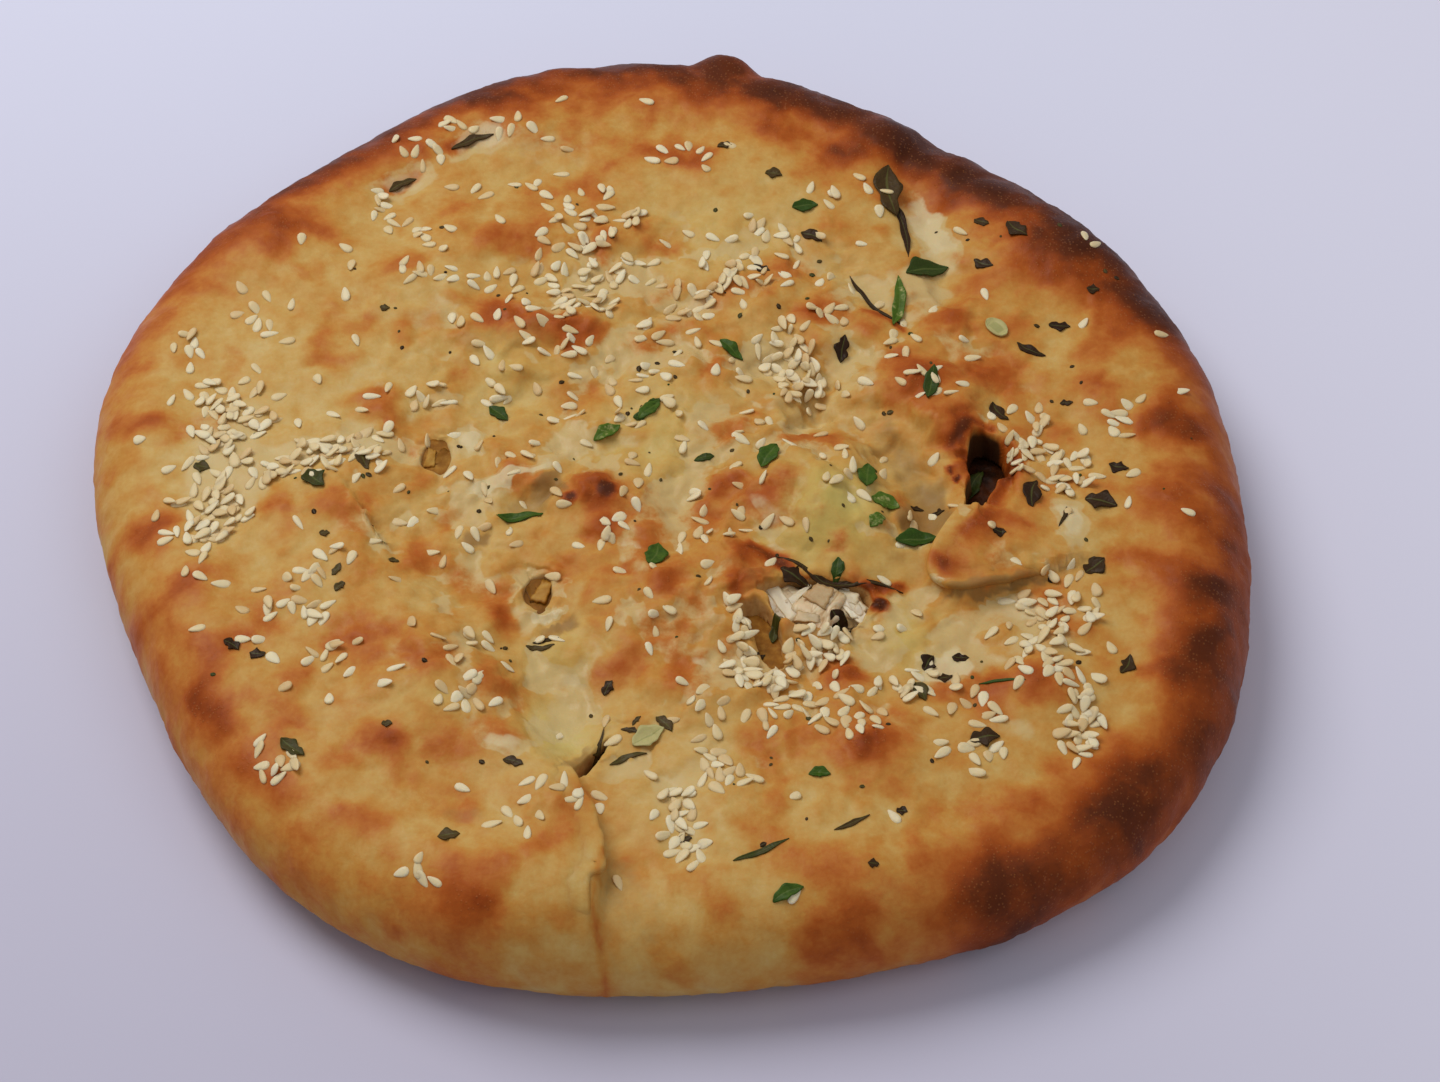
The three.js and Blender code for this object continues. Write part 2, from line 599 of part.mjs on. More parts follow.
// Triangles of a sheet of rows by columns: both faces split alike, and its rim
function sheetFaces(rows, columns) {
  const count = rows * columns;
  const faces = [];
  for (let row = 0; row + 1 < rows; row += 1) {
    for (let column = 0; column + 1 < columns; column += 1) {
      const a = row * columns + column;
      const b = a + columns;
      faces.push([a, b, b + 1], [a, b + 1, a + 1]);
      faces.push([count + a, count + b + 1, count + b], [count + a, count + a + 1, count + b + 1]);
    }
  }
  const rim = [];
  for (let column = 0; column + 1 < columns; column += 1) rim.push(column);
  for (let row = 0; row + 1 < rows; row += 1) rim.push(row * columns + columns - 1);
  for (let column = columns - 1; column > 0; column -= 1) rim.push((rows - 1) * columns + column);
  for (let row = rows - 1; row > 0; row -= 1) rim.push(row * columns);
  rim.forEach((here, index) => {
    const next = rim[(index + 1) % rim.length];
    faces.push([here, next, count + next], [here, count + next, count + here]);
  });
  return faces;
}

// A shred of chicken: a lump with fibres along it, lying on the filling
function chickenSolid(spec, surfaceAt) {
  const geometry = new THREE.SphereGeometry(1, 12, 8);
  geometry.rotateZ(Math.PI / 2);
  const position = geometry.attributes.position;
  for (let i = 0; i < position.count; i += 1) {
    const x = position.getX(i);
    const y = position.getY(i);
    const z = position.getZ(i);
    const fibre = 1 + 0.12 * Math.cos(5 * Math.atan2(z, y));
    position.setXYZ(i, x * spec.half[0], y * fibre * spec.half[1], z * fibre * spec.half[2]);
  }
  geometry.rotateZ(spec.turn * DEGREE);
  geometry.translate(spec.at[0], spec.at[1], restingHeight(geometry, spec.at, surfaceAt));
  return solidFromGeometry(geometry);
}

// How high a piece's own middle must lie for it to rest clear on the surface
function restingHeight(geometry, at, surfaceAt) {
  const position = geometry.attributes.position;
  let height = -Infinity;
  for (let i = 0; i < position.count; i += 1) {
    const surface = surfaceAt(at[0] + position.getX(i), at[1] + position.getY(i));
    height = Math.max(height, surface.height + CLEARANCE - position.getZ(i));
  }
  return height;
}

function addPiece(group, name, solid, finish) {
  const material = new THREE.MeshStandardMaterial({ ...finish, metalness: 0 });
  const mesh = new THREE.Mesh(geometryFrom(solid), material);
  mesh.name = name;
  group.add(mesh);
}

function buildNaan() {
  const naan = new THREE.Group();
  const bread = breadSolid();
  const filling = fillingSolid(0);
  addPiece(naan, 'bread', bread, FINISHES.bread);
  addPiece(naan, 'filling', filling, FINISHES.filling);

  const breadSurface = surfaceFinder(geometryFrom(bread));
  const fillingSurface = surfaceFinder(geometryFrom(filling));
  CHICKEN_PIECES.forEach((spec, index) => {
    addPiece(naan, `chicken_${index + 1}`, chickenSolid(spec, fillingSurface), FINISHES.chicken);
  });
  ONION_PIECES.forEach((spec, index) => {
    const solid = drapedLeaf({ ...spec, wave: 0.5 }, fillingSurface, 2 * LEAF_THICKNESS);
    addPiece(naan, `onion_${index + 1}`, solid, FINISHES.onion);
  });
  HERBS.forEach((spec, index) => {
    const name = `herb_${String(index + 1).padStart(2, '0')}`;
    addPiece(naan, name, drapedLeaf(spec, breadSurface, LEAF_THICKNESS), FINISHES.herb);
  });
  const sunkLeaf = drapedLeaf(HERB_IN_OPENING, fillingSurface, LEAF_THICKNESS);
  addPiece(naan, 'herb_in_opening', sunkLeaf, FINISHES.herb);
  return naan;
}

export default buildNaan();
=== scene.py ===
"""A round filled naan: baked and buttered dough, sesame, herbs, and the chicken and onion in its tears.

Lengths in the tables and functions are millimetres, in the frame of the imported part; MM turns them
into metres where a mesh is made. x runs to the right, y away from the eater and z up.
"""
import math

import bpy
import numpy as np
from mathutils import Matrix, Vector
from mathutils.bvhtree import BVHTree


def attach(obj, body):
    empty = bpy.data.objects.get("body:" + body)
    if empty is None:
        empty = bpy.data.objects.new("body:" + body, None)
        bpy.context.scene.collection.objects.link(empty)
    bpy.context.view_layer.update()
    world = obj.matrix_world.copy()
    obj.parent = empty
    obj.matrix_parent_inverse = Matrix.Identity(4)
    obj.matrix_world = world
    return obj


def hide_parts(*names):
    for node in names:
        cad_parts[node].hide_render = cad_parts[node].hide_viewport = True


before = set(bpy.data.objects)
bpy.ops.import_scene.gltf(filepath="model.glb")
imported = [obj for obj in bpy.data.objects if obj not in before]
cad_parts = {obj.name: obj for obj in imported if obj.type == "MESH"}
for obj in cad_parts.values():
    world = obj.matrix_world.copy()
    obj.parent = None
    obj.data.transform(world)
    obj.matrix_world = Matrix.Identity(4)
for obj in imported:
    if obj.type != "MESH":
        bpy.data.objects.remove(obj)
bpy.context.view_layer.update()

MM = 0.001
DEGREE = math.pi / 180

# Size of the whole bread, and how its side is rounded above and below
MEAN_RADIUS = 115
TOP_HEIGHT = 25
WIDEST_HEIGHT = 11.5
TOP_ROUNDING = 15
BASE_ROUNDING = 13

# How far the outline leaves the circle: waves round the rim, cosine and sine parts
OUTLINE_WAVES = ((1, 0, 1.3), (2, 0, -3.5), (3, 0.3, -1.95), (4, -0.85, -1.2), (5, -1.25, 2.25))
# Places where the rim is fuller than the waves would make it: direction, reach, rise
FULLER_PLACES = ((-90, 30, 6.5), (106, 12, 1.6))

# Fineness of the surfaces
TOP_RINGS = 126
SIDE_STEPS = 28
BASE_RINGS = 5
ROOM_RINGS = 40
FILLING_RINGS = 140

# Filling layer and the room the dough leaves it
FILLING_BASE = 8
FILLING_TOP = 15.5
FILLING_INSET = 18
FILLING_EDGE_SLOPE = 4
CLEARANCE = 0.35
# How far round a tear the filling is pushed up, and how deep its fine crags are
FILLING_PUSH_REACH = 6
FILLING_CRAGS = 1.1

# The broad unevenness of the top
BROAD_DIMPLES = 0.9
FINE_DIMPLES = 0.45
# How its features are moved to and fro: size and first seed of the noise, reach
WANDERINGS = ((11, 60, 2.6), (4, 62, 0.9))

# Mounds and hollows of the top: centre, reach to each side, turn in degrees, rise
MOUNDS = (
    (29, -13, 13, 17, 8, 4.6),  # puffed bulge right of the middle
    (60, -24, 12, 8, 20, 2.6),  # flap of dough below the right opening
    (55, 9, 6, 7, 40, 3),  # scorched upper lip of the right opening
    (68, -5, 5, 10, -8, 2),  # outer lip of the right opening
    (-14, -11, 7.5, 6, 0, 3.8),  # brown blister left of the middle
    (49, 18, 9, 6, 10, 2.4), (12, -26, 7, 9, 20, 2.2), (-1, -37, 12, 8, 35, 1.8),
    (-83, 60, 12, 10, 40, 1.4), (-40, 55, 24, 9, 18, 1.6), (-28, 33, 18, 6, 6, 2.2),
    (8, 82, 26, 9, 0, 1.5), (77, 51, 11, 9, -40, 1.8), (98, -15, 8, 14, 0, 1.6),
    (99, -44, 8, 15, -10, 1.8), (70, -58, 8, 7, 0, 1.7), (37, -72, 9, 7, 0, 1.7),
    (-50, -52, 15, 11, -40, 1.7), (-35, -102, 14, 9, 0, 1.6), (-70, -15, 15, 8, 10, 1.2),
    (-88, -38, 9, 14, 15, 1.2), (40, -100, 18, 8, 14, 1.4), (20, 40, 12, 8, -20, 1.5),
    (-46, 0, 9, 10, 0, -1.8),  # sunk round the left hole
    (-25, -38, 9, 12, 0, -1.8),  # sunk round the middle hole
    (-28, -13, 8, 5, 0, -2.4), (-17, -60, 10, 11, -20, -2.6), (-57, 75, 7, 5, 35, -1.8),
    (-42, 87, 8, 5, 35, -1.6), (-30, 14, 16, 7, 10, -1.8), (-85, -3, 12, 18, 0, -1.2),
    (76, -1, 10, 12, 30, -1.6), (20, -52, 14, 8, 0, -1.6), (66, 28, 12, 8, 0, -1.2),
)

# The scorched inner side of the right opening
SCORCHED_WALL = ((65.6, 2), (66.4, -3), (65.2, -8.4), (62.8, -14))

# Long hollows of the top, and ridges where the depth is negative: path, half width, depth
GROOVES = (
    (((-52, 84), (-30, 95), (0, 99), (30, 96), (60, 81), (84, 54)), 8, -1.8),  # ridge of the far rim
    (((30, 12), (42, 6), (47, -6), (50, -18)), 5.5, 3.6),  # beside the bulge
    (((49, 80), (53, 62), (58, 44)), 5.5, 2.8),  # pale opening, upper right
    (((20, 24), (28, 12), (34, 25)), 5, 3.4),  # pocket that holds seeds
    (((36, 50), (47, 35)), 4.5, 1.6),
    (((15, -22), (30, -34), (45, -35)), 5, 1.4),  # under the bulge
    (((8, -72), (2, -82), (4, -94)), 4.5, 1.3),
    (SCORCHED_WALL, 1.9, 2.4),
)

# Edges where one sheet of dough lies over the next, higher on the left of the path:
# path, rise, drop, reach, sharpness
FRONT_FOLD = (
    (-8.8, -121), (-10.6, -112), (-13.1, -109.5), (-13.8, -103), (-13.5, -101.3), (-11.4, -100.7),
    (-10.7, -99.4), (-11.4, -97.6), (-11.3, -93.5), (-12.4, -91.5), (-12.9, -87), (-15, -84.6),
    (-17, -79), (-29, -58), (-43, -39), (-52, -26),
)
FLAP_EDGE = ((58, -14), (51, -25), (48.5, -33), (56, -37), (72, -31))
FOLD_EDGES = ((FRONT_FOLD, 2.8, 1.6, 17, 0.6), (FLAP_EDGE, 2, 1, 9, 0.5))
# Paths of the lips that make those edges crisp
FOLD_LIPS = (((-13.3, -110.5), *FRONT_FOLD[3:13], (-20, -74)), FLAP_EDGE)
# Section of a lip: how far left of the edge, and how high above the sheet's own surface
LIP_SECTION = (
    (0.6, -2.6), (-0.1, -1.9), (-0.5, -1.1), (-0.62, -0.4), (-0.45, 0.08), (0.1, 0.3), (0.9, 0.34),
    (2, 0.22), (3.4, -0.02), (5, -0.5), (4, -2.4),
)
LIP_ROWS = 110
# How far in from the edge the sheet's own surface is measured, over how many rows it is evened out,
# and how deep the ends of a lip sink into the dough
LIP_LEVEL_FROM = 1.6
LIP_EVENED = 4
LIP_END_DEPTH = 1.5
# The front fold is crisp at the near rim and a soft slope towards the middle
FRONT_FOLD_SOFT_FROM = -86
FRONT_FOLD_SOFT_TO = -60
FRONT_FOLD_SOFTNESS = 5
# How jagged the edges are, away from the near rim: size, seed and amount of the noise
FOLD_JAGS = ((5, 65, 1.1), (2.2, 66, 0.5))
FOLD_JAGGED_FROM = -95
FOLD_JAGGED_TO = -75

# Places torn through the upper crust: centre, half width, half length, turn, rise of the
# filling below, and how dark it is inside, from 0 for pale meat over 0.5 for onion to 1 for burnt;
# the dark values also paint the deep shade inside the tears
TEARS = (
    (28.2, -38, 10.2, 6.2, -6, 7.8, 0.1),  # torn middle, full of chicken
    (18, -45, 2.6, 7.6, 21, 3.6, 0.42),  # slot that runs down from it
    (62.2, -1.7, 4.1, 6.7, 0, 2.2, 1),  # dark opening at the right
    (-14, -74, 0.9, 5.2, -31, 2.4, 0.6),  # slit at the front fold
    (-46, 0, 2.7, 4, 0, 6, 0.4),  # hole with onion, left
    (-24.8, -34, 2.6, 3.8, 0, 5.8, 0.4),  # hole with onion, middle
    (60.3, -9.4, 2.6, 6.6, -17, 1.8, 1),  # narrow near end of the dark opening
)
PIT_BELOW_FILLING = 0.8
TEAR_SQUARENESS = 2.3
# How ragged the edges of the tears are: size, seed and amount of the noise
TEAR_RAGS = ((3.6, 55, 0.12), (1.6, 56, 0.05))
# The puffed up lip round a tear: how high, how uneven, how far out from the edge and how wide
TEAR_LIP_HEIGHT = 0.35
TEAR_LIP_UNEVENNESS = 0.6
TEAR_LIP_AT = 1.4
TEAR_LIP_REACH = 1.3
# How dark the inside is far from the tears, and how little that counts near one
INNER_SHADE = 0.03
INNER_SHADE_WEIGHT = 0.1
# How near the edge of a tear the crust's mesh is made finer, step by step
FINER_NEAR_TEARS = (2.6, 1.3)

# Blisters that stand out of the side: centre, half sizes, rise
RIM_BLISTERS = (
    (11, 114, 21, 7.5, 7, 7, 3.4),
    (-23, 111, 20, 8, 5, 5, 1.2),
    (-33, 108, 20, 5, 4, 4, 1),
    (-106, 35, 15, 4.5, 6, 5, 2),
)

# Puffs of the dough, from broad to fine: how much they are warped, size and seed of the noise, rise
PUFF_LAYERS = ((4, 13, 3, 1.25), (3, 6, 4, 0.55), (1.5, 2.9, 5, 0.22))
PUFF_MEAN = 0.6
# How high the puffs stand on the smooth rim, and how much higher in the crumpled middle
PUFFS_ON_RIM = 0.55
PUFFS_IN_MIDDLE = 1.75
# Where the dough is crumpled
BUSY_MIDDLE = (6, -8)
BUSY_REACH = 74
# Heights and depths of the rest of the fine relief
WRINKLE_HEIGHT = 1.2
FLAKED_DEPTH = 0.5
CREASE_DEPTH = 0.45
BROWN_BLISTER_HEIGHT = 0.7
GRAIN_HEIGHT = 0.1
GRAIN_MORE_ON_RIM = 0.14

# How much height counts in the patterns of the colours, next to the plan
PATTERN_STRETCH = (1, 1, 0.6)
# How brown the crust is on the whole, and how much browner or paler it gets
MEAN_BROWN = 0.24
BROWN_ON_PUFFS = 0.2
BROWN_ON_MOUNDS = 0.03
PALE_IN_GROOVES = 0.07
BROWN_AT_SPOTS = 0.8
BROWN_AT_CHAR = 0.9
PALE_WHERE_YELLOW = 0.3

# Browned spots: centre, reach, how dark
BROWN_SPOTS = (
    (-83, 63, 8, .5), (-20, 73, 4, .4), (-46, 68, 5, .35), (-59, 49, 5, .35), (-62, 34, 5, .4),
    (-71, 32, 4, .35), (-37, 38, 5, .4), (-38, 34, 4, .4), (-30, 33, 5, .4), (-22, 34, 4, .4),
    (-17, 30.5, 4.5, .6), (-37, 58, 4, .35), (-29, 62, 4, .35), (-6, 83, 5, .35), (6, 81, 4, .35),
    (28, 78, 4, .35), (20, 91, 5, .4), (33, 83, 4, .35), (39, 84, 4, .35), (52, 83, 5, .55),
    (-1.5, 44, 4, .35), (24, 50, 5, .4), (29, 38, 4, .5), (9, 23, 4, .35), (-17, 16, 4, .35),
    (49, 16, 6.5, .62), (45, 23, 5, .4), (60, 69, 4, .35), (77, 51.5, 8, .62), (85, 56, 5, .5),
    (97, 39, 7, .75), (56, 36, 5, .35), (66, 22, 5, .35), (83, 16, 5, .4), (100, 12, 5, .4),
    (100, 6, 6, .5), (96, -14, 8.5, .58), (98.6, -36, 8, .7), (97, -52, 8, .7), (70, -58.5, 5.5, .6),
    (37, -72, 6, .5), (82, -77, 8, .56), (84, -86, 6, .44), (58, -100, 8, .6), (34, -54.5, 4, .35),
    (10, -107, 5, .35), (30, -109, 6, .4), (23, -117, 4, .55), (47, -86, 4, .35), (91, -30, 5, .4),
    (76, 5, 5, .35), (53, -31, 4, .5), (39, -39, 2.2, .6), (-0.7, -34.5, 4, .62), (-14, -10.5, 6, .6),
    (-12.8, -20, 4.5, .6), (-49, -25, 4.5, .45), (-52, -47, 5, .45), (-44, -54.5, 5, .5),
    (-30, -58, 4, .4), (-39, -72, 5, .5), (-30, -69, 4, .4), (-11, -55, 4, .5), (-7, -51, 3, .4),
    (2.5, -52, 3.5, .4), (3, -57, 4, .4), (-23, -95, 4, .4), (-35, -105, 8, .65), (-52, -90, 4, .35),
    (-15, -83, 3, .3), (-7, -96, 3, .3), (13, -10, 5, .45), (8, -16, 4, .4), (14, -27, 2.5, .7),
    (20, -29, 3, .5), (36, -73, 5, .4), (-32, -40, 3, .4), (-77, -44, 4, .45), (-86, -55, 5, .2),
    (-68, -56, 4, .4), (-82, -64, 5, .3), (-53, -71, 4, .4), (-59, -75, 4, .4), (-56, -88, 4, .35),
    (-99, -18, 5, .35), (-91, -34, 5, .35), (-77, -13, 4, .4), (-65, -14, 5, .5), (-103, 8.5, 5, .35),
    (-98.5, -22, 5, .35), (57, 8, 3.5, .4), (57.4, 6.4, 2.4, .4), (67, -6, 2.4, .5), (56, -3, 2.5, .4),
    (54.6, 2, 3.4, .4), (55.4, -6, 3, .45), (57, -22.6, 3.2, .5), (52.4, -29.6, 2.2, .5),
    (60, -20, 3, .4), (15.5, -33, 4, .5), (13, -36.5, 2.5, .5), (40, -37, 3.4, .5),
)

# Black spots of char: centre, reach
CHAR_SPOTS = (
    (-19.3, -13.8, 1.3), (-12.2, -12.5, 1.9), (54.6, -4.4, 0.8), (56, -6.6, 0.7), (39.8, -38.4, 1.6),
)

# Charred edges, and a line of painted shade beside the front fold: path, half width, how dark
CHARRED_AND_SHADED_LINES = (
    (((16, -25), (20, -28), (27, -33.4), (33, -35), (44, -33.4)), 1.5, 0.8),  # under the bulge
    (((55.6, 1), (57, 4.6), (59.6, 6.2), (63.4, 6)), 1.1, 0.5),  # upper lip of the opening
    (((57.4, 4), (57.6, -2), (58.4, -8)), 1, 0.35),
    (SCORCHED_WALL, 1.8, 0.7),
    (((39, 38), (47, 34)), 1, 0.5),
    # Painted shade in the valley beside the front fold
    (((-11.4, -97), (-13, -104), (-10, -119)), 0.8, 0.25),
    (((25, 15), (28, 10.5), (33, 19)), 0.8, 0.3),
    (((-60, 73.6), (-54.6, 77.6)), 1.6, 0.4),  # burnt tears, upper left
    (((-47.5, 84.6), (-38.6, 90)), 1.6, 0.4),
)

# How brown the rim is, by direction: angle in degrees, reach, amount. At -48 and -140 degrees it is partly
# painted shade on the near rim.
RIM_BROWNING_AND_SHADE = (
    (86, 46, 2.1), (126, 20, 0.4), (28, 22, 0.7), (-20, 22, 0.7), (-48, 14, 0.5), (-66, 18, 0.22),
    (-112, 12, 0.12), (-140, 20, 0.3), (176, 24, 0.18), (152, 13, 0.3),
)
# How that fades inwards from the edge: share, where it begins and ends to fade; and where it
# reaches deeper: direction, reach, how much
RIM_BROWNING_FADES = ((0.7, 3, 16), (0.3, 8, 28))
RIM_BROWNED_DEEPER = (70, 42, 6)

# Broad regions that are browner or paler as a whole: centre, reach, amount. The first is baked browner;
# the others are browner partly as painted shade over the middle and the near side, and the last is paler
# as painted light on the left.
BROWNER_REGIONS_AND_PAINTED_SHADE = (
    (66, 38, 28, 0.15), (10, -22, 60, 0.14), (-40, -62, 35, 0.05), (45, -65, 40, 0.04),
    (-84, -6, 28, -0.06),
)

# Yellow, buttery places: centre, reach, amount
YELLOW_SPOTS = (
    (30, -18, 11, 1), (-20, -68, 7, .8), (42, -46, 8, .55), (-4, 2, 12, .35), (-33, 22, 10, .3),
    (-44, -60, 6, .2), (8, 62, 14, .2), (-20, -50, 7, .35),
)

# Pale, damp places where the crust has flaked off, and with a negative amount darker places: painted
# shade in hollows, beside the front fold and under the flap's edge, and thin dough where the dark filling
# shines through: centre, reach to each side, turn, amount
PALE_PATCHES = (
    (53.5, 64, 3.5, 12, 14, 1.6), (50, 46, 4, 7, 30, .8), (42, 3, 3.6, 11, 35, .8),
    (48, -10, 3, 7, 5, .7), (77.4, -18.8, 3.4, 5.2, 10, 1.6), (51, -53, 5.5, 3.4, 0, 1.8),
    (-30, -72.5, 5, 2.6, -20, 1.4), (-31.5, -6.4, 9, 2, 27, 1.8), (-40, 4, 3.4, 2.6, 0, 1.7),
    (56.4, -35.8, 8, 1.5, -4, 1.5), (62, -41, 10, 3, 8, .9), (-22.6, -39.4, 2.3, 1.5, 10, 1.9),
    (-46, 7.4, 5, 5, 0, -.4), (-6, -27, 3, 5, 0, .8), (-28, -6, 6, 2.4, 28, .7),
    (-30, -12, 7, 4, 10, .6), (24, 23, 5, 8, 20, .7), (-25, -38, 7, 9, 0, .35), (-46, 2, 7, 7, 0, .6),
    (-17, -62, 7, 9, -20, .5), (3, -79, 4, 8, -25, .5), (12, -52, 9, 5, 0, .6),
    (-57, 75, 7, 4, 35, 1.25), (-43, 87, 8, 4, 30, 1.25), (64, -68, 6, 3, 0, .5),
    (-87, -3, 9, 20, 0, .75), (-68, -0.5, 11, 3.4, 15, 1), (-27, 86, 14, 7, 0, .5),
    (-12, 47, 12, 8, 0, .4), (4, 38, 12, 4, 40, .5), (-3, -12, 9, 7, 0, .4),
    (18, -17.4, 2.4, 5, 24, .7), (45, 0, 4.5, 13, 25, -.6), (49.4, -15, 4, 7, 0, -1),
    (-24, -8.4, 4, 4.5, 20, -1), (-28, -13.5, 4, 2.4, 20, -.6), (-36.7, -22, 3, 2.6, 0, -.9),
    # (-8, -103) and (-5, -108) paint the shade beside the front fold, (62, -34.6) the shadow under the
    # flap's edge
    (-19.8, -42.2, 4, 3, 20, -.8), (-16, -74.5, 1.4, 4.6, -36, -.8), (-8, -103, 4, 8.6, 4, -.5),
    (-5, -108, 5, 7, 0, -.3), (62, -34.6, 12, 1.4, 12, -.9), (-36, -88, 3, 2, 0, -.4),
    (17, -33, 4, 3, 20, -.4), (-35, 30, 14, 3, 5, -.4), (28, 17, 6, 5, 20, -.6), (72, -44, 7, 9, 0, .5),
    (-10, 6, 16, 5, 20, .35), (30, -44, 10, 3, 10, .6), (44, -38, 5, 4, 0, .5),
)

# Herb leaves that the solids have too: centre, length, width, turn, and tone from 0 for fresh
# green over 0.5 for olive to 1 for burnt, and below 0 for pale
HERBS = (
    (52.5, 50.6, 9.5, 5, 20, .45), (45.6, 41, 14, 2.6, 84, .1), (51.6, 15.6, 9, 3, 80, .3),
    (12, 27.6, 6.5, 2.6, -45, .2), (27.5, 67.5, 5.5, 3.2, 10, .25), (-34.4, 11.7, 6, 2.8, -50, .3),
    (-12.6, 4.6, 6, 3, 30, .1), (-4.4, 10.6, 6.5, 3, 50, .15), (19.3, -4, 6.5, 4, 60, .1),
    (38.3, -8.6, 6.5, 3.8, 85, .15), (41.6, -15, 5.6, 3.8, -15, .1), (47.4, -23, 8.5, 4.6, 15, .2),
    (-68.6, -9, 5.8, 3.8, -55, .55), (-29, -15.8, 9, 2.4, 5, .1), (-2.9, -27.5, 6.4, 4.2, 75, .2),
    (21.7, -104, 6, 2.6, 25, .2), (-68, -72.5, 6, 2.8, -40, .6), (-3.4, -69, 6.6, 4.2, 30, -.2),
    (83.4, -13.8, 6.4, 4, -20, .85), (58, -70.4, 5.6, 3.4, 10, .9), (70.6, -12, 8, 3.4, 80, 1),
    (71.3, 59, 6.4, 3.4, -55, .85),
)
# Its tone is darkened to paint the shade inside the opening
HERB_IN_OPENING = (60, -3.8, 8, 3.4, 66, .48)
# Strips of herb and burnt skin that wind over the crust: path, width, tone
STRANDS = (
    (((45.4, 80), (44.6, 74), (46.6, 66)), 5.4, .7), (((45.6, 72), (48.6, 63), (48.7, 54)), 1.8, .9),
    (((20.6, -27.6), (24.3, -28.8), (27.4, -31.4), (31, -33.8), (35, -33.4), (39.7, -33),
      (44.5, -34.6)), 1.3, .88),
    (((21.2, -30.4), (23.6, -31.6), (26.8, -33)), 3.4, .98),
    (((32.2, -28.6), (32, -31), (31.4, -33.4)), 2.2, .3),
    (((30.8, -40), (32.4, -42.2), (34.2, -45)), 4, .94), (((36.5, 50), (40, 40.6), (47, 34.6)), 1, .9),
    (((-60, 73), (-57.4, 75.8), (-54.5, 77)), 2, .7),
    (((-47.4, 84.4), (-43, 87.6), (-38.6, 88.8)), 2, .7),
    (((-10.4, -74.6), (-7, -72.4), (-3.6, -72)), 1.2, .66),
    (((-14.4, -74), (-12.4, -70.6), (-11.6, -66)), .7, .8), (((-13.6, -71.6), (-10.6, -69.6)), .6, .8),
    (((30, -91), (33.6, -89.4), (36.5, -87.6)), 1, .7),
    (((76.6, -15.5), (76, -18.5), (74.6, -21)), 0.8, .9),
    (((12, -97.5), (17.4, -95.4), (22, -93)), 1.2, .5),
    (((57.5, -58), (61.5, -57.4), (66, -58.4)), .6, .3),
)
# Slice of green onion: centre, length, width, turn
ONION_SLICE = (65.7, 32.7, 5.4, 3.6, -50)
ONION_SLICE_TONE = -0.1
LEAF_THICKNESS = 0.28
LEAF_ROWS = 26
LEAF_COLUMNS = 9
LEAF_RANDOM_START = 31
LEAF_TEETH = 17
LEAF_TOOTH_DEPTH = 0.1
# How closely leaves, strips and flakes follow the crust, from 0 to 1, and how much they may be bent
LEAF_HUG = 0.4
STRAND_HUG = 0.15
FLAKE_HUG = 0.85
LEAF_BEND = 0.12
FLAKE_BEND = 0.15

# Small bits of herb, dried or burnt, that only the looks have: centre, length, width, turn, tone
FLAKES = (
    (-3.4, 13, 2.6, 1.6, 20, .2), (-6, 8.6, 3, 1.8, 0, .2), (6.6, -2, 4, 2, 10, .4),
    (40, -20.5, 4, 2.6, 40, .1), (32.3, -30.7, 3, 1.8, 80, .3), (20, -43.6, 5, 1.8, 80, .5),
    (27.7, -78.2, 4, 2.2, 0, .15), (46.3, -59.2, 5.4, 2.6, -65, .6), (-.6, -66.2, 4.6, 2.2, -50, .7),
    (-6.8, -67.4, 3.6, 1, -20, .75), (-5.6, -65.4, 2.4, .8, 50, .75), (-58.5, 38, 2, 1.6, 0, .7),
    (10.7, 85, 3.2, 2, 10, .75), (21, 76, 3.6, 2.6, -10, .75), (28.7, 59, 5, 2.4, -30, .85),
    (18.3, 49.8, 4, 2, -35, .9), (64.2, 62.7, 3.4, 2.2, -30, .85), (64, 51, 4.6, 2.2, -35, .95),
    (86, 43.4, 2.6, 2, 0, .9), (78.6, 34, 4.4, 2.4, -10, .95), (72.5, 27.5, 6.5, 2, -30, .95),
    (78.6, 13, 2.6, 1.2, 0, .9), (65.4, 11, 5.6, 2.6, -60, .95), (87.6, -4.4, 4, 2.6, -20, .95),
    (81, -30, 5, 4, 40, .85), (63, -24, 2.6, 2, 0, 1), (48, -13, 2.6, 1.4, -10, 1),
    (52, -14, 2.4, 1.3, 0, 1), (85, -53, 5, 2.4, 65, .9), (48.6, -52, 3.6, 2.6, 60, 1),
    (54.5, -51, 3.2, 2, 0, 1), (51.4, -55.6, 3, 1.8, 20, .95), (42.3, -86.4, 2, 1.8, 0, 1),
    (36.8, -98.4, 2, 1.6, 0, .8), (-38.5, -92.5, 4, 2.6, 10, .7), (3.2, -91.7, 3, 1.6, 0, .8),
    (-91.7, -4, 3.2, 2.6, 0, .6), (-59.7, -3.6, 5.6, 2.6, -70, .75), (-81.3, -49.5, 3.4, 2.2, -30, .95),
    (-76.3, -51, 3, 2.2, 0, .95), (-62, -36, 2.4, 1.6, 40, .7), (-63, -32, 3, 1.4, 60, .6),
    (-66, -22.5, 2, 1.4, 0, .7), (-52.5, -28, 2, 1.4, 0, .7), (-51, -68.4, 2, 1.4, 0, .7),
    (-27.7, -76.8, 4, 1.8, -20, .8), (-23, -45.6, 5, 1.2, 5, .8), (-24, -47, 5.5, 1.2, -5, .75),
    (34.5, 28, 6, 2.6, 80, .95), (-11, -57, 3, 2, 60, .85), (-41.6, 2.4, 1.2, .8, 0, .9),
    (-44.2, 13.6, 1.4, .8, 0, .8), (17.4, -49.4, 2, .8, 40, .9),
)
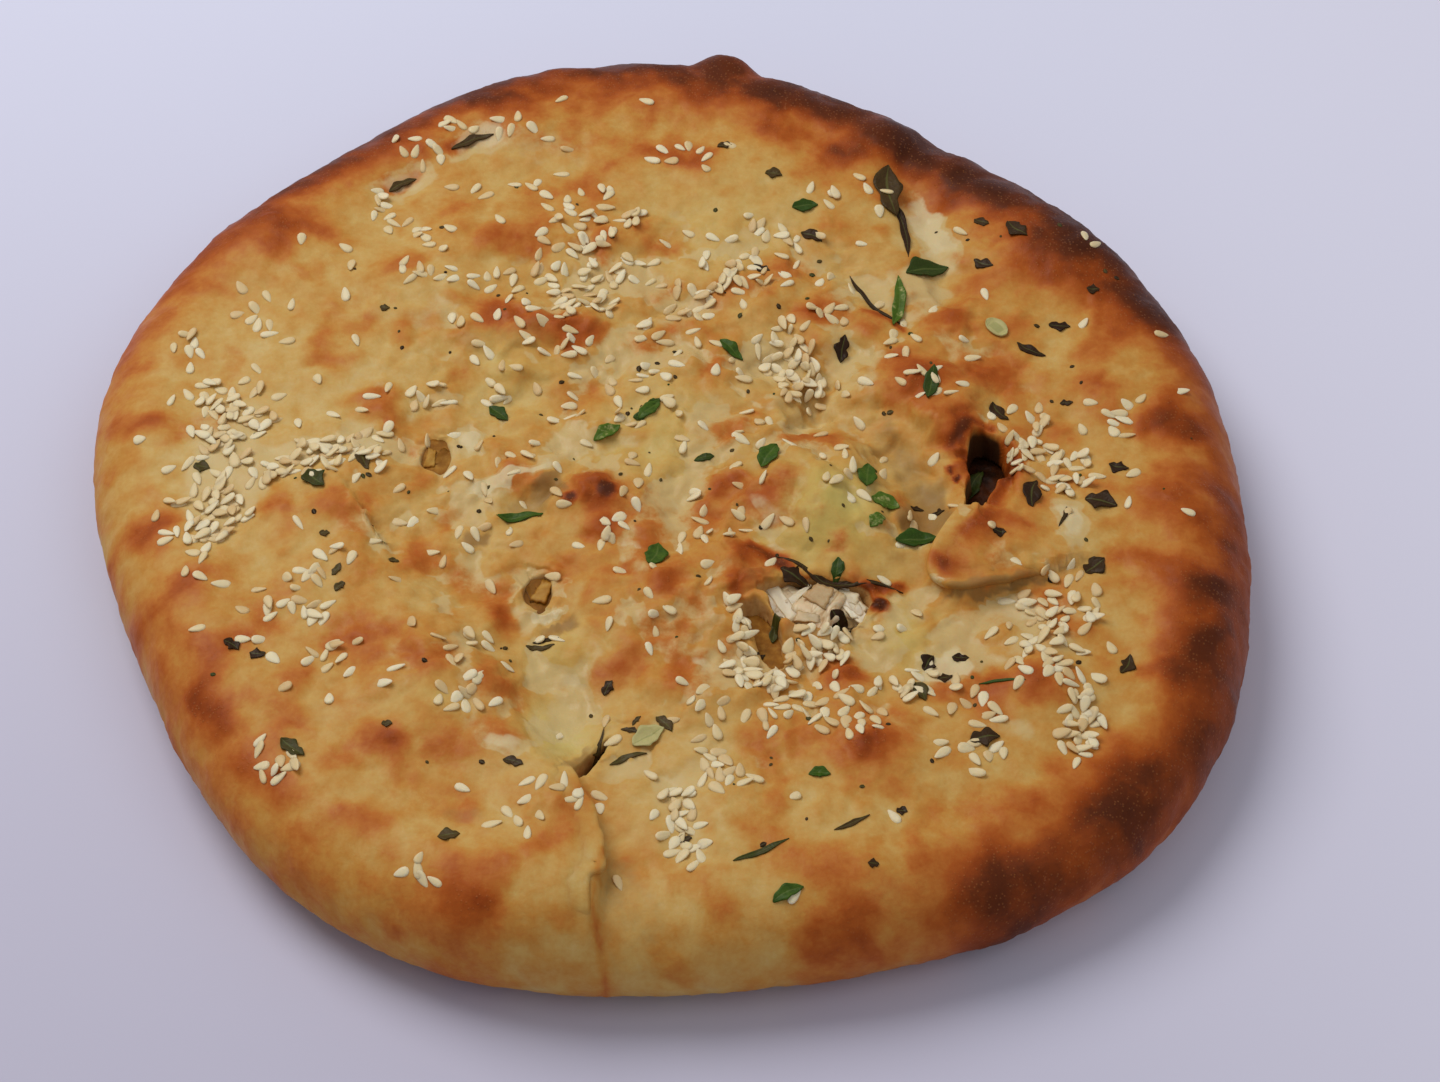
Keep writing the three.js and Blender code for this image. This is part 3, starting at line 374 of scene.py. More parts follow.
# Specks of spice and dried herb scattered all over
SPECK_COUNT = 120
SPECK_SPREAD = 58
SPECK_RIM_MARGIN = 12
SPECK_THICKNESS = 0.2
FLAKE_RANDOM_START = 32

# Chicken in the torn middle, as in the solids: centre, half sizes, turn
CHICKEN_PIECES = (
    (22.6, -37, 4.8, 4.6, 1.5, 20), (35, -37.4, 6, 2.7, 1.6, -48), (28.6, -38.4, 5.4, 4.4, 1.6, 62),
)
CHICKEN_RINGS = 30
CHICKEN_RANDOM_START = 5

# Flat torn sheets on the chicken: centre, length, width, turn, lift, tilt, taper, shade
CHICKEN_FLAKES = (
    (28.6, -36.4, 4.6, 5, 60, 0.5, 0.06, 0.3, 0.8), (19.3, -35.8, 8, 2.3, 97, 0.35, 0.12, 0.2, 0),
    (20.8, -33.6, 4.4, 4, 20, 0, 0.1, 0.1, 0.4), (21.4, -36.8, 10, 2.6, -61, 0.2, 0.1, 0.1, 0.15),
    (23.6, -37, 7.6, 2.8, -52, 0.1, -0.12, 0.3, 0.3), (24.6, -35.2, 6.4, 2, 48, 0.5, 0.1, 0.7, 0.05),
    (22, -39.6, 4.6, 2.2, -30, 0.1, 0.1, 0.4, 0.1), (33, -33.9, 2.6, 1.4, 0, 0.5, 0.1, 0.3, 0),
    (33.8, -35.6, 4.4, 3, -15, 0.3, 0.1, 0.2, 0.25), (35.4, -37.6, 4.4, 3.2, -45, 0.3, -0.12, 0.2, 0.1),
    (36.6, -40.8, 6.4, 2.9, -58, 0.5, 0.1, 0.5, 0), (34, -38.4, 5, 1.4, -62, 0.5, 0.2, 0.3, 0),
    (26.2, -41.4, 4.6, 2.4, -10, 0.2, 0.1, 0.3, 0.6),
)
# Browned onion in the holes and the slot, in the same terms: first the slice that fills each
# opening and then the bits on it
ONION_BITS = (
    (-46, 0, 11, 9, 80, 0.9, 0, 0, 0.3), (-46.2, 3.3, 4.6, 3.4, 8, 1.5, -0.1, 0.2, 0.75),
    (-44.8, 0.1, 4.4, 3.4, 64, 1.5, 0.1, 0.25, 0.3), (-47.2, -0.2, 4.6, 2.2, 84, 1.6, 0.12, 0.3, -0.1),
    (-45.6, -3.2, 4.6, 2.2, 4, 1.4, 0.05, 0.4, 0.65), (-24.8, -34, 11, 8, 90, 0.9, 0, 0, 0.45),
    (-26.4, -32.6, 6.4, 2.4, 112, 1.5, 0.1, 0.3, 0.5), (-24, -33.6, 5.4, 3.2, 70, 1.6, -0.1, 0.35, 0),
    (-25, -36.8, 3.6, 2.2, 14, 1.4, 0.1, 0.2, 0.55), (18, -45.5, 19, 8, 111, 2, 0, 0, 0.3),
    (16.9, -46.5, 12, 2.6, 106, 2.3, 0.14, 0.2, 0.45), (20, -49, 6, 3.4, 112, 2.4, 0.1, 0.2, 0.05),
)
FLAT_BIT_THICKNESS = 0.45
FLAT_BIT_ROWS = 10
ONION_RANDOM_START = 6

# Sesame seeds
SEED_LENGTH = 3.4
SEED_WIDTH = 1.7
SEED_THICKNESS = 0.52
SEED_ROWS = 7
SEED_COLUMNS = 10
# How much they differ in length and width, as shares, and how much they lean
SEED_LENGTH_VARIES = 0.1
SEED_WIDTH_VARIES = 0.13
SEED_LEAN = 0.16
# How high the middle of a seed lies over the crust, as a share of its thickness
SEED_LIFT = 0.1
# Where they lie: centre, spread to each side, turn, and about how many
SEED_DRIFTS = (
    (-87, 10, 5.5, 8, 0, 42), (-88, -17, 5.5, 8, 0, 42), (-69, -2, 9, 3, 15, 38),
    (-56, 62, 8, 1.6, -48, 10), (-53, 83, 3.5, 3, 0, 5), (-46, 92, 3, 2, 0, 3), (-35, 91, 3, 2, 0, 3),
    (-40, 73, 3, 2, 0, 2), (-29.5, 73, 3, 2, 0, 2), (-53, 46.5, 3, 2, 0, 3), (-85.5, 37, 5, 5, 0, 7),
    (-97, 29, 3, 4, 0, 3), (-17, 55, 8, 9, 0, 46), (-19, 40, 5, 3, 0, 13), (-39, 46, 5, 3, 0, 8),
    (-1, 82, 5, 4, 0, 6), (20, 58, 5, 5, 0, 9), (8, 44, 9, 3.2, 36, 27), (35, 71, 5, 4, 0, 4),
    (25.5, 22.5, 2.8, 5.5, 30, 34), (30, 36, 3.5, 3, 0, 5), (46, 28, 4, 3, 0, 4), (50, 18, 4, 3, 0, 5),
    (-36, 21, 4, 3, 0, 3), (-49, 15, 4, 3, 0, 3), (-21, 26, 4, 2, 0, 5), (74, -3, 5, 9.5, 34, 38),
    (87, 8, 4, 4, 0, 7), (72, -45, 6, 8, 0, 48), (76, -65, 3, 6.5, 0, 21), (42, -58, 6, 4, 0, 13),
    (28, -62, 5, 3, 0, 11), (33.5, -66, 4, 3, 0, 6), (19.5, -65, 3, 3, 0, 5), (7.5, -64, 3, 3, 0, 5),
    (13.5, -47, 1.8, 5, 0, 15), (18, -56.5, 3.4, 2, 0, 13), (28, -48.5, 4.5, 2.2, 18, 20),
    (10, -76, 3.4, 2, -40, 10), (1, -84, 2.4, 4.4, 0, 13), (3.5, -93, 2.4, 2.4, 0, 8),
    (56, -62, 4, 3, 0, 6), (55, -73, 4, 3, 0, 6), (-70.7, -35, 3, 3, 0, 6), (-66, -42, 3, 3, 0, 4),
    (-60, -52.5, 4, 3, 0, 5), (-37, -63, 4, 3, 0, 6), (-36.7, -49.4, 3, 3, 0, 4),
    (-73, -77, 2.4, 2.2, 0, 6), (-46, -102, 2.4, 2.2, 0, 6), (-19, -85, 4, 3, 0, 6),
    (-27, -89, 3, 3, 0, 4), (34, -12, 4, 4, 0, 4), (7, -20, 4, 3, 0, 5), (-10, -22, 3, 3, 0, 3),
    (-5, 30, 24, 22, 0, 26), (-40, -20, 40, 60, 0, 60), (0, 0, 62, 62, 0, 120),
)
# How far from the rim and, as a share of its size, from a tear they lie
SEED_RIM_MARGIN = 8
SEED_TEAR_SHARE = 1.15
# How many more there are than the table says, how much closer together than its spread, how far
# apart at least, and how often a place is looked for
SEED_PLENTY = 1.35
SEED_SPREAD = 0.8
SEED_SPACING = 1.8
SEED_TRIES = 14
# In the thick drifts a seed may lie on another, that much higher and more tilted
SEED_THIN_DRIFT = 12
SEED_PILE_STEP = 0.55
SEED_PILE_LEAN = 0.25
SEED_RANDOM_START = 7

# How high above the bread things are dropped from, to find where they lie
PROBE_HEIGHT = 80

# Colours as they look on a screen; a ramp gives a place from 0 to 1 and then red, green and blue
CRUST_RAMP = (
    (0, 212, 183, 122), (0.122, 204, 162, 90), (0.23, 197, 138, 62), (0.321, 190, 114, 46),
    (0.428, 174, 87, 27), (0.566, 148, 65, 14), (0.765, 98, 41, 9), (1, 74, 30, 7),
)
# The browning at which the crust's ramp ends
BROWNEST = 1.7
BUTTERY = (202, 184, 102)
DAMP_DOUGH = (208, 182, 127)
BARE_DOUGH = (217, 197, 152)
# Darker colour of the negative pale patches: painted shade, and thin dough over the filling
THIN_DOUGH_AND_PAINTED_SHADE = (148, 110, 60)
PIN_BLISTER = (196, 124, 66)
CRUMB_RAMP = ((0.3, 172, 116, 60), (0.6, 200, 156, 96))
# Crumb inside the dark tears: scorched, and painted shade of the deep walls
SCORCHED_AND_SHADED_CRUMB = (50, 21, 9)
SESAME_RAMP = ((0, 216, 180, 127), (0.3, 228, 201, 152), (1, 240, 222, 184))
HERB_RAMP = (
    (0, 186, 176, 118), (0.05, 80, 106, 30), (0.2, 48, 74, 17), (0.45, 52, 62, 20),
    (0.65, 82, 64, 30), (0.82, 62, 42, 18), (1, 46, 26, 10),
)
HERB_RIB = (110, 120, 60)
CHICKEN_RAMP = ((0, 242, 222, 190), (0.4, 226, 198, 156), (1, 184, 144, 94))
ONION_RAMP = ((0, 196, 150, 76), (0.35, 170, 118, 44), (0.6, 142, 90, 24), (1, 96, 57, 12))
FILLING_RAMP = (
    (0, 204, 176, 126), (0.25, 186, 148, 96), (0.5, 140, 86, 42), (0.75, 84, 40, 15), (0.95, 34, 16, 7),
)
FLOOR_REACH = 5000
# The floor is darker towards the camera and lighter to the right: painted shade and light
FLOOR_NEAR_PAINTED_SHADE = (192, 187, 208)
FLOOR_FAR = (224, 226, 248)
FLOOR_RIGHT_PAINTED_LIGHT = (240, 236, 254)

# Camera, with its distance and target in metres
CAMERA_ELEVATION = 50
CAMERA_DISTANCE = 0.640
CAMERA_TARGET = (0.0097, -0.0127, 0.012)
CAMERA_LENS = 81.36
CAMERA_SENSOR = 36
CAMERA_CLIP_START = 0.01

# Lights: name, place and size in metres, power, tint
LIGHTS = (
    ("window", (-0.46, 0.36, 0.9), 0.72, 6.6, (1, 0.98, 0.95)),
    ("fill", (0.7, -0.5, 1.2), 1.0, 2.2, (1, 0.99, 0.97)),
)
SKY_COLOUR = (0.93, 0.96, 1, 1)
SKY_STRENGTH = 0.33


def soft_step(low, high, value):
    """0 below low, 1 above high, and smooth between."""
    share = np.clip((value - low) / (high - low), 0, 1)
    return share * share * (3 - 2 * share)


def flat_points(x, y):
    """Plan points as points in space at height 0."""
    return np.column_stack((x, y, np.zeros(len(x))))


def turned(x, y, at_x, at_y, turn):
    """Plan points in a feature's own turned axes."""
    cosine, sine = math.cos(turn * DEGREE), math.sin(turn * DEGREE)
    return (x - at_x) * cosine + (y - at_y) * sine, (y - at_y) * cosine - (x - at_x) * sine


def oval(x, y, at_x, at_y, half_u, half_v, turn, power=2):
    """1 in the middle of a turned oval, fading to nearly 0 outside it, more suddenly at a high power."""
    u, v = turned(x, y, at_x, at_y, turn)
    return np.exp(-((u / half_u) ** power) - (v / half_v) ** power)


def spots(x, y, table, widen=1):
    """A table's round spots added up: each has its centre, reach and amount."""
    total = np.zeros(len(x))
    for at_x, at_y, reach, amount in table:
        total += amount * np.exp(-(((x - at_x) ** 2 + (y - at_y) ** 2) / (widen * reach) ** 2))
    return total


def towards(angle, degrees, reach):
    """1 in one direction, fading to nearly 0 beyond its reach to each side, both in degrees."""
    off = (angle / DEGREE - degrees + 180) % 360 - 180
    return np.exp(-((off / reach) ** 2))


def lattice_gradient(ix, iy, iz, seed):
    """A repeatable direction for each corner of the noise's lattice."""
    mask = np.uint64(0xFFFFFFFF)
    mixed = (ix * 2654435761 + iy * 2246822519 + iz * 3266489917 + seed * 668265263).astype(np.uint64)
    for shift, factor in ((15, 739982445), (12, 695872825), (15, 1)):
        mixed = mixed & mask
        mixed = (mixed ^ (mixed >> np.uint64(shift))) * np.uint64(factor)
    return [((mixed >> np.uint64(bits)) & np.uint64(1023)) / 511.5 - 1 for bits in (0, 10, 20)]


def noise(points, size, seed):
    """Smooth lumps about size across, from about -1 to 1, with another pattern for each seed."""
    scaled = points / size
    cell = np.floor(scaled).astype(np.int64)
    inside = scaled - cell
    fade = inside ** 3 * (inside * (inside * 6 - 15) + 10)
    total = np.zeros(len(points))
    for corner in np.ndindex(2, 2, 2):
        gradient = lattice_gradient(*(cell[:, axis] + corner[axis] for axis in range(3)), seed)
        weight = np.ones(len(points))
        reach = np.zeros(len(points))
        for axis in range(3):
            weight *= fade[:, axis] if corner[axis] else 1 - fade[:, axis]
            reach += gradient[axis] * (inside[:, axis] - corner[axis])
        total += weight * reach
    return total * 1.25


def rough_noise(points, size, seed, octaves):
    """Noise with finer and lower lumps on its lumps."""
    return sum(noise(points, size / 2 ** octave, seed + octave) / 2 ** octave for octave in range(octaves))


def layered_noise(points, layers):
    """Several noises added up, each given as size, seed and amount."""
    return sum(amount * noise(points, size, seed) for size, seed, amount in layers)


def noise_pair(points, size, seed):
    """Sideways shifts from about -1 to 1 that make a pattern uneven."""
    return flat_points(noise(points, size, seed), noise(points, size, seed + 1))


def outline_radius(angle):
    """The rim's distance from the middle in each direction."""
    radius = np.full(np.shape(angle), float(MEAN_RADIUS))
    for count, cosine, sine in OUTLINE_WAVES:
        radius += cosine * np.cos(count * angle) + sine * np.sin(count * angle)
    for degrees, reach, rise in FULLER_PLACES:
        radius += rise * towards(angle, degrees, reach)
    return radius


def path_distance(x, y, path):
    """Distance from each point to a path, and 1 or -1 for its left or right side."""
    nearest = np.full(np.shape(x), np.inf)
    side = np.ones(np.shape(x))
    for (ax, ay), (bx, by) in zip(path, path[1:]):
        along_x, along_y = bx - ax, by - ay
        share = ((x - ax) * along_x + (y - ay) * along_y) / (along_x ** 2 + along_y ** 2)
        share = np.clip(share, 0, 1)
        dx, dy = x - ax - share * along_x, y - ay - share * along_y
        distance = np.hypot(dx, dy)
        closer = distance < nearest
        nearest = np.where(closer, distance, nearest)
        side = np.where(closer, np.where(along_x * dy - along_y * dx >= 0, 1, -1), side)
    return nearest, side


def near_path(x, y, path, half):
    """1 on a path, fading to nearly 0 beyond its half width."""
    return np.exp(-((path_distance(x, y, path)[0] / half) ** 2))


def mound_rise(x, y, mound):
    """How much one mound lifts the top."""
    *place, rise = mound
    return rise * oval(x, y, *place)


def groove_depth(x, y, groove):
    """How much one groove lowers the top."""
    path, half, depth = groove
    return depth * near_path(x, y, path, half)


def fold_rise(x, y, fold):
    """How much a fold lifts the sheet on the left of its edge and lowers the one on the right."""
    path, rise, drop, reach, sharpness = fold
    distance, side = path_distance(x, y, path)
    if path is FRONT_FOLD:
        sharpness = sharpness + FRONT_FOLD_SOFTNESS * soft_step(FRONT_FOLD_SOFT_FROM, FRONT_FOLD_SOFT_TO, y)
    jagged = layered_noise(flat_points(x, y), FOLD_JAGS) * soft_step(FOLD_JAGGED_FROM, FOLD_JAGGED_TO, y)
    over = 0.5 + 0.5 * np.tanh((side * distance + jagged) / sharpness)
    return np.exp(-((distance / reach) ** 2)) * (rise * over - drop * (1 - over))


def dimples(x, y):
    """The broad unevenness that stretching by hand leaves."""
    broad = np.sin(x / 15 + 1.7 * np.sin(y / 24)) * np.cos(y / 13 + 1.2 * np.sin(x / 19))
    fine = np.sin(x / 6.5 + y / 11 + 2) * np.cos(y / 7 - x / 14)
    return BROAD_DIMPLES * broad + FINE_DIMPLES * fine


def wandered(x, y):
    """Plan points moved a little to and fro, so that no feature keeps a ruled outline."""
    flat = flat_points(x, y)
    for size, seed, reach in WANDERINGS:
        x, y = x + reach * noise(flat, size, seed), y + reach * noise(flat, size, seed + 1)
    return x, y


def top_height(x, y):
    """Height of the upper crust before it is torn."""
    height = TOP_HEIGHT + dimples(x, y)
    for fold in FOLD_EDGES:
        height += fold_rise(x, y, fold)
    x, y = wandered(x, y)
    for mound in MOUNDS:
        height += mound_rise(x, y, mound)
    for groove in GROOVES:
        height -= groove_depth(x, y, groove)
    return height


def tear_share(x, y, tear):
    """How far out from a tear's middle a point lies: 1 on its ragged edge."""
    at_x, at_y, half_u, half_v, turn = tear[:5]
    u, v = turned(x, y, at_x, at_y, turn)
    angle = np.arctan2(v / half_v, u / half_u)
    order = TEARS.index(tear)
    ragged = 1 + 0.06 * np.sin(3 * angle + order) + 0.04 * np.sin(5 * angle + 2 * order)
    share = np.abs(u / half_u) ** TEAR_SQUARENESS + np.abs(v / half_v) ** TEAR_SQUARENESS
    return share ** (1 / TEAR_SQUARENESS) / ragged


def past_edge(x, y, tear):
    """How far, in millimetres or nearly, a point lies outside the ragged edge of a tear."""
    narrowest = min(tear[2], tear[3])
    ragged = narrowest * layered_noise(flat_points(x, y), TEAR_RAGS)
    return (tear_share(x, y, tear) - 1) * narrowest + ragged


def filling_height(x, y):
    """Height of the filling: lumpy, and pushed up where the crust above it is torn."""
    lumps = 0.7 * np.sin(x / 5.5 + 1) * np.cos(y / 6.5) + 0.5 * np.sin((x + y) / 4.2)
    height = FILLING_TOP + lumps
    for at_x, at_y, half_u, half_v, turn, rise, _ in TEARS:
        near = oval(x, y, at_x, at_y, half_u + FILLING_PUSH_REACH, half_v + FILLING_PUSH_REACH, turn)
        height += rise * near ** 2
    return height


def inner_shade(x, y):
    """How dark the inside is, from 0 to 1: as at the nearest tears, partly painted shade, lighter at their
    near ends and darker in the shade at their far ends.
    """
    shade, weight = np.full(len(x), INNER_SHADE), np.full(len(x), INNER_SHADE_WEIGHT)
    for at_x, at_y, half_u, half_v, turn, _, dark in TEARS:
        near = oval(x, y, at_x, at_y, half_u + 2, half_v + 2, turn)
        v = turned(x, y, at_x, at_y, turn)[1]
        # Painted shade: darker towards the far end of a tear
        lighter = 1 - 0.4 * soft_step(0.1 * half_v, -0.8 * half_v, v)
        shade, weight = shade + near * dark * lighter, weight + near
    return shade / weight


def quads(a, b, c, d):
    """Two triangles for every face with four corners."""
    return np.vstack((np.column_stack((a, b, c)), np.column_stack((a, c, d))))


def ring_points(angle, reach, height):
    """A point in each direction from the middle, at a reach and a height."""
    return np.column_stack((reach * np.cos(angle), reach * np.sin(angle), height + 0 * angle))


def disc(rings, edge):
    """Plan points and triangles of a disc whose ring k has 6k points, out to edge(angle)."""
    points = [np.zeros((1, 2))]
    triangles = []
    inner_first = 0
    for ring in range(1, rings + 1):
        angle = np.arange(6 * ring) / (6 * ring) * 2 * np.pi
        points.append(ring_points(angle, ring / rings * edge(angle), 0)[:, :2])
        first = 1 + 3 * ring * (ring - 1)
        inner_count = max(1, 6 * (ring - 1))
        sextant = np.repeat(np.arange(6), ring)
        step = np.tile(np.arange(ring), 6)
        outer = sextant * ring + step
        inner = sextant * (ring - 1) + step
        here = first + outer
        after = first + (outer + 1) % (6 * ring)
        below = inner_first + inner % inner_count
        triangles.append(np.column_stack((here, after, below)))
        more = step + 1 < ring
        beside = inner_first + (inner + 1) % inner_count
        triangles.append(np.column_stack((below, after, beside))[more])
        inner_first = first
    return np.vstack(points), np.vstack(triangles)


def close_disc(points, triangles, rows, base_rings):
    """Joins rows of points round the side to a disc, and closes it with a flat base disc."""
    around = len(rows[0])
    step = np.arange(around)
    after = (step + 1) % around
    rim = rows[-1]
    shares = [1 - ring / base_rings for ring in range(1, base_rings)]
    rows = rows + [rim * (share, share, 1) for share in shares]
    upper = len(points) - around
    triangles = [triangles]
    for _ in rows:
        lower = upper + around
        triangles.append(quads(upper + step, lower + step, lower + after, upper + after))
        upper = lower
    middle = np.full(around, upper + around)
    triangles.append(np.column_stack((upper + step, middle, upper + after)))
    return np.vstack((points, *rows, (0, 0, rim[0, 2]))), np.vstack(triangles)


def split_edges(points, triangles, chosen):
    """Halves every edge between two chosen points, and splits the triangles on it to match."""
    edges = np.sort(triangles[:, [[0, 1], [1, 2], [2, 0]]], axis=2)
    marked = chosen[edges].all(axis=2)
    unique, inverse = np.unique(edges[marked], axis=0, return_inverse=True)
    middle = np.zeros(marked.shape, int)
    middle[marked] = len(points) + inverse.ravel()
    count = marked.sum(axis=1)
    a, b, c = triangles[count == 3].T
    ab, bc, ca = middle[count == 3].T
    parts = [np.column_stack(corners) for corners in ((a, ab, ca), (ab, b, bc), (ca, bc, c), (ab, bc, ca))]
    single = count == 1
    order = (marked[single].argmax(axis=1)[:, None] + np.arange(3)) % 3
    a, b, c = np.take_along_axis(triangles[single], order, axis=1).T
    halfway = middle[single].max(axis=1)
    parts += [np.column_stack((a, halfway, c)), np.column_stack((halfway, b, c)), triangles[count == 0]]
    return np.vstack((points, points[unique].mean(axis=1))), np.vstack(parts)


def vertex_normals(points, triangles):
    """The direction straight out of the surface at each point."""
    corners = points[triangles]
    face_normals = np.cross(corners[:, 1] - corners[:, 0], corners[:, 2] - corners[:, 0])
    normals = np.zeros_like(points)
    for corner in range(3):
        np.add.at(normals, triangles[:, corner], face_normals)
    return normals / np.maximum(np.linalg.norm(normals, axis=1, keepdims=True), 1e-12)


def add_object(name, data):
    """Puts a mesh, light or camera into the scene as an object."""
    added = bpy.data.objects.new(name, data)
    bpy.context.scene.collection.objects.link(added)
    return added


def mesh_object(name, points, triangles):
    """A Blender mesh object from points in millimetres."""
    mesh = bpy.data.meshes.new(name)
    mesh.from_pydata((points * MM).tolist(), [], triangles.tolist())
    mesh.validate()
    mesh.shade_smooth()
    return add_object(name, mesh)


def mesh_arrays(piece):
    """A mesh object's points in millimetres and its triangles."""
    mesh = piece.data
    flat = np.zeros(len(mesh.vertices) * 3)
    mesh.vertices.foreach_get("co", flat)
    mesh.calc_loop_triangles()
    corners = np.zeros(len(mesh.loop_triangles) * 3, int)
    mesh.loop_triangles.foreach_get("vertices", corners)
    return flat.reshape(-1, 3) / MM, corners.reshape(-1, 3)


def merged(parts):
    """The points and the triangles of several parts as one."""
    first = np.cumsum([0] + [len(part[0]) for part in parts])
    triangles = np.vstack([part[1] + start for part, start in zip(parts, first)])
    return np.vstack([part[0] for part in parts]), triangles


def set_attribute(piece, name, values):
    """Gives each point of a piece a value that its material reads by name."""
    attribute = piece.data.attributes.new(name, "FLOAT", "POINT")
    attribute.data.foreach_set("value", np.asarray(values, np.float32))


def join(name, parts, attributes):
    """One mesh object from many (points, triangles, values) parts, the values under their names."""
    piece = mesh_object(name, *merged(parts))
    for order, attribute in enumerate(attributes, start=2):
        set_attribute(piece, attribute, np.concatenate([part[order] for part in parts]))
    return piece


def tree_of(*pieces):
    """A search tree over several mesh objects, for laying things on them."""
    points, triangles = merged([mesh_arrays(piece) for piece in pieces])
    return BVHTree.FromPolygons((points * MM).tolist(), triangles.tolist())


def surface_below(tree, x, y):
    """The height and normal, in millimetres, of what lies under a point of the plan."""
    place, normal, _, _ = tree.ray_cast(Vector((x * MM, y * MM, PROBE_HEIGHT * MM)), Vector((0, 0, -1)))
    return place.z / MM, normal


def heights_below(tree, plan):
    """The heights of what lies under a grid of plan points."""
    return np.array([[surface_below(tree, x, y)[0] for x, y in row] for row in plan])


def smooth_path(path, count):
    """Evenly spaced points along a path, with its corners rounded."""
    path = np.array(path, float)
    for _ in range(3):
        first, second = path[:-1], path[1:]
        cut = np.stack((0.75 * first + 0.25 * second, 0.25 * first + 0.75 * second), axis=1)
        path = np.vstack((path[:1], cut.reshape(-1, 2), path[-1:]))
    along = np.concatenate(([0], np.cumsum(np.hypot(*np.diff(path, axis=0).T))))
    wanted = np.linspace(0, along[-1], count)
    return np.column_stack((np.interp(wanted, along, path[:, 0]), np.interp(wanted, along, path[:, 1])))


def centre_line(path, count):
    """Points along a path with its corners rounded, and at each the direction to its left."""
    centre = smooth_path(path, count)
    ahead = np.gradient(centre, axis=0)
    ahead /= np.linalg.norm(ahead, axis=1, keepdims=True)
    return centre, np.column_stack((-ahead[:, 1], ahead[:, 0]))


def evened(values, reach):
    """Values averaged with those up to reach places before and after them."""
    count = 2 * reach + 1
    return np.convolve(np.pad(values, reach, mode="edge"), np.ones(count) / count, mode="valid")


def puffs(points):
    """How puffed up the dough is: rounded pillows about 12 mm across with creases between them."""
    warp = noise_pair(points, 16, 40)
    total = np.zeros(len(points))
    for shift, size, seed, rise in PUFF_LAYERS:
        total += rise * np.abs(noise(points + shift * warp, size, seed))
    return total


def busyness(x, y):
    """1 where the dough is crumpled and torn, round the middle, and 0 on the smooth rim."""
    at_x, at_y = BUSY_MIDDLE
    return np.exp(-((np.hypot(x - at_x, y - at_y) / BUSY_REACH) ** 4))


def flaked(points):
    """1 where the thinnest outer layer has flaked off the crumpled crust, with ragged edges."""
    patches = noise(points + 4 * noise_pair(points, 9, 49), 10, 47) + 0.3 * noise(points, 2.6, 48)
    return soft_step(0.12, 0.2, patches) * soft_step(0.15, 0.6, busyness(points[:, 0], points[:, 1]))


def fine_relief(points):
    """Fine pillows, wrinkles and blisters, measured outwards from the surface."""
    x, y = points[:, :2].T
    busy = busyness(x, y)
    relief = (puffs(points) - PUFF_MEAN) * (PUFFS_ON_RIM + PUFFS_IN_MIDDLE * busy)
    wrinkles = 1 - np.abs(3 * rough_noise(points + 2 * noise(points, 9, 45)[:, None], 15, 17, 3))
    wrinkled = busy * soft_step(-0.3, 0.3, noise(points, 22, 46))
    relief += WRINKLE_HEIGHT * np.clip(wrinkles, 0, 1) ** 2 * wrinkled
    relief -= FLAKED_DEPTH * flaked(points)
    relief -= CREASE_DEPTH * busy * np.exp(-((noise(points, 8, 51) / 0.06) ** 2))
    relief += BROWN_BLISTER_HEIGHT * spots(x, y, BROWN_SPOTS)
    return relief + (GRAIN_HEIGHT + GRAIN_MORE_ON_RIM * (1 - busy)) * rough_noise(points, 2.4, 29, 2)


def torn(x, y, height):
    """Sinks the upper crust into pits at the tears and puffs up the lips round them."""
    lip_height = TEAR_LIP_HEIGHT + TEAR_LIP_UNEVENNESS * noise(flat_points(x, y), 5, 57)
    for tear in TEARS:
        past = past_edge(x, y, tear)
        height = height + lip_height * np.exp(-(((past - TEAR_LIP_AT) / TEAR_LIP_REACH) ** 2))
        pit = soft_step(0.3, -0.8, past)
        height = height * (1 - pit) + (filling_height(x, y) - PIT_BELOW_FILLING) * pit
    return height


def side_rows(shoulder):
    """Rows of points round the side, from under the shoulder down to the underside."""
    angle = np.arctan2(shoulder[:, 1], shoulder[:, 0])
    rows = []
    for step in range(1, SIDE_STEPS + 1):
        bend = (0.5 - step / SIDE_STEPS) * math.pi
        rounding, depth = BASE_ROUNDING, WIDEST_HEIGHT
        if bend > 0:
            rounding, depth = TOP_ROUNDING, shoulder[:, 2] - WIDEST_HEIGHT
        reach = outline_radius(angle) - rounding * (1 - math.cos(bend))
        rows.append(ring_points(angle, reach, np.maximum(WIDEST_HEIGHT + depth * math.sin(bend), 0)))
    return rows


def bread_surface():
    """Points and triangles of the dough, with its tears as pits."""
    plan, triangles = disc(TOP_RINGS, lambda angle: outline_radius(angle) - TOP_ROUNDING)
    points = np.column_stack((plan, top_height(*plan.T)))
    points, triangles = close_disc(points, triangles, side_rows(points[-6 * TOP_RINGS:]), BASE_RINGS)
    on_top = np.arange(len(points)) < len(plan)
    for reach in FINER_NEAR_TEARS:
        past = np.min([np.abs(past_edge(*points[:, :2].T, tear)) for tear in TEARS], axis=0)
        points, triangles = split_edges(points, triangles, on_top & (past < reach))
        on_top = np.append(on_top, np.ones(len(points) - len(on_top), bool))
    points[on_top, 2] = top_height(*points[on_top, :2].T)
    normals = vertex_normals(points, triangles)
    fade_to_base = soft_step(1, 8, points[:, 2])
    for at_x, at_y, at_z, half_x, half_y, half_z, rise in RIM_BLISTERS:
        offset = (points - (at_x, at_y, at_z)) / (half_x, half_y, half_z)
        swell = soft_step(1.2, 0.2, np.linalg.norm(offset, axis=1))
        points = points + normals * (rise * swell)[:, None]
    points = points + normals * (fine_relief(points) * fade_to_base)[:, None]
    points[on_top, 2] = torn(*points[on_top].T)
    return points, triangles


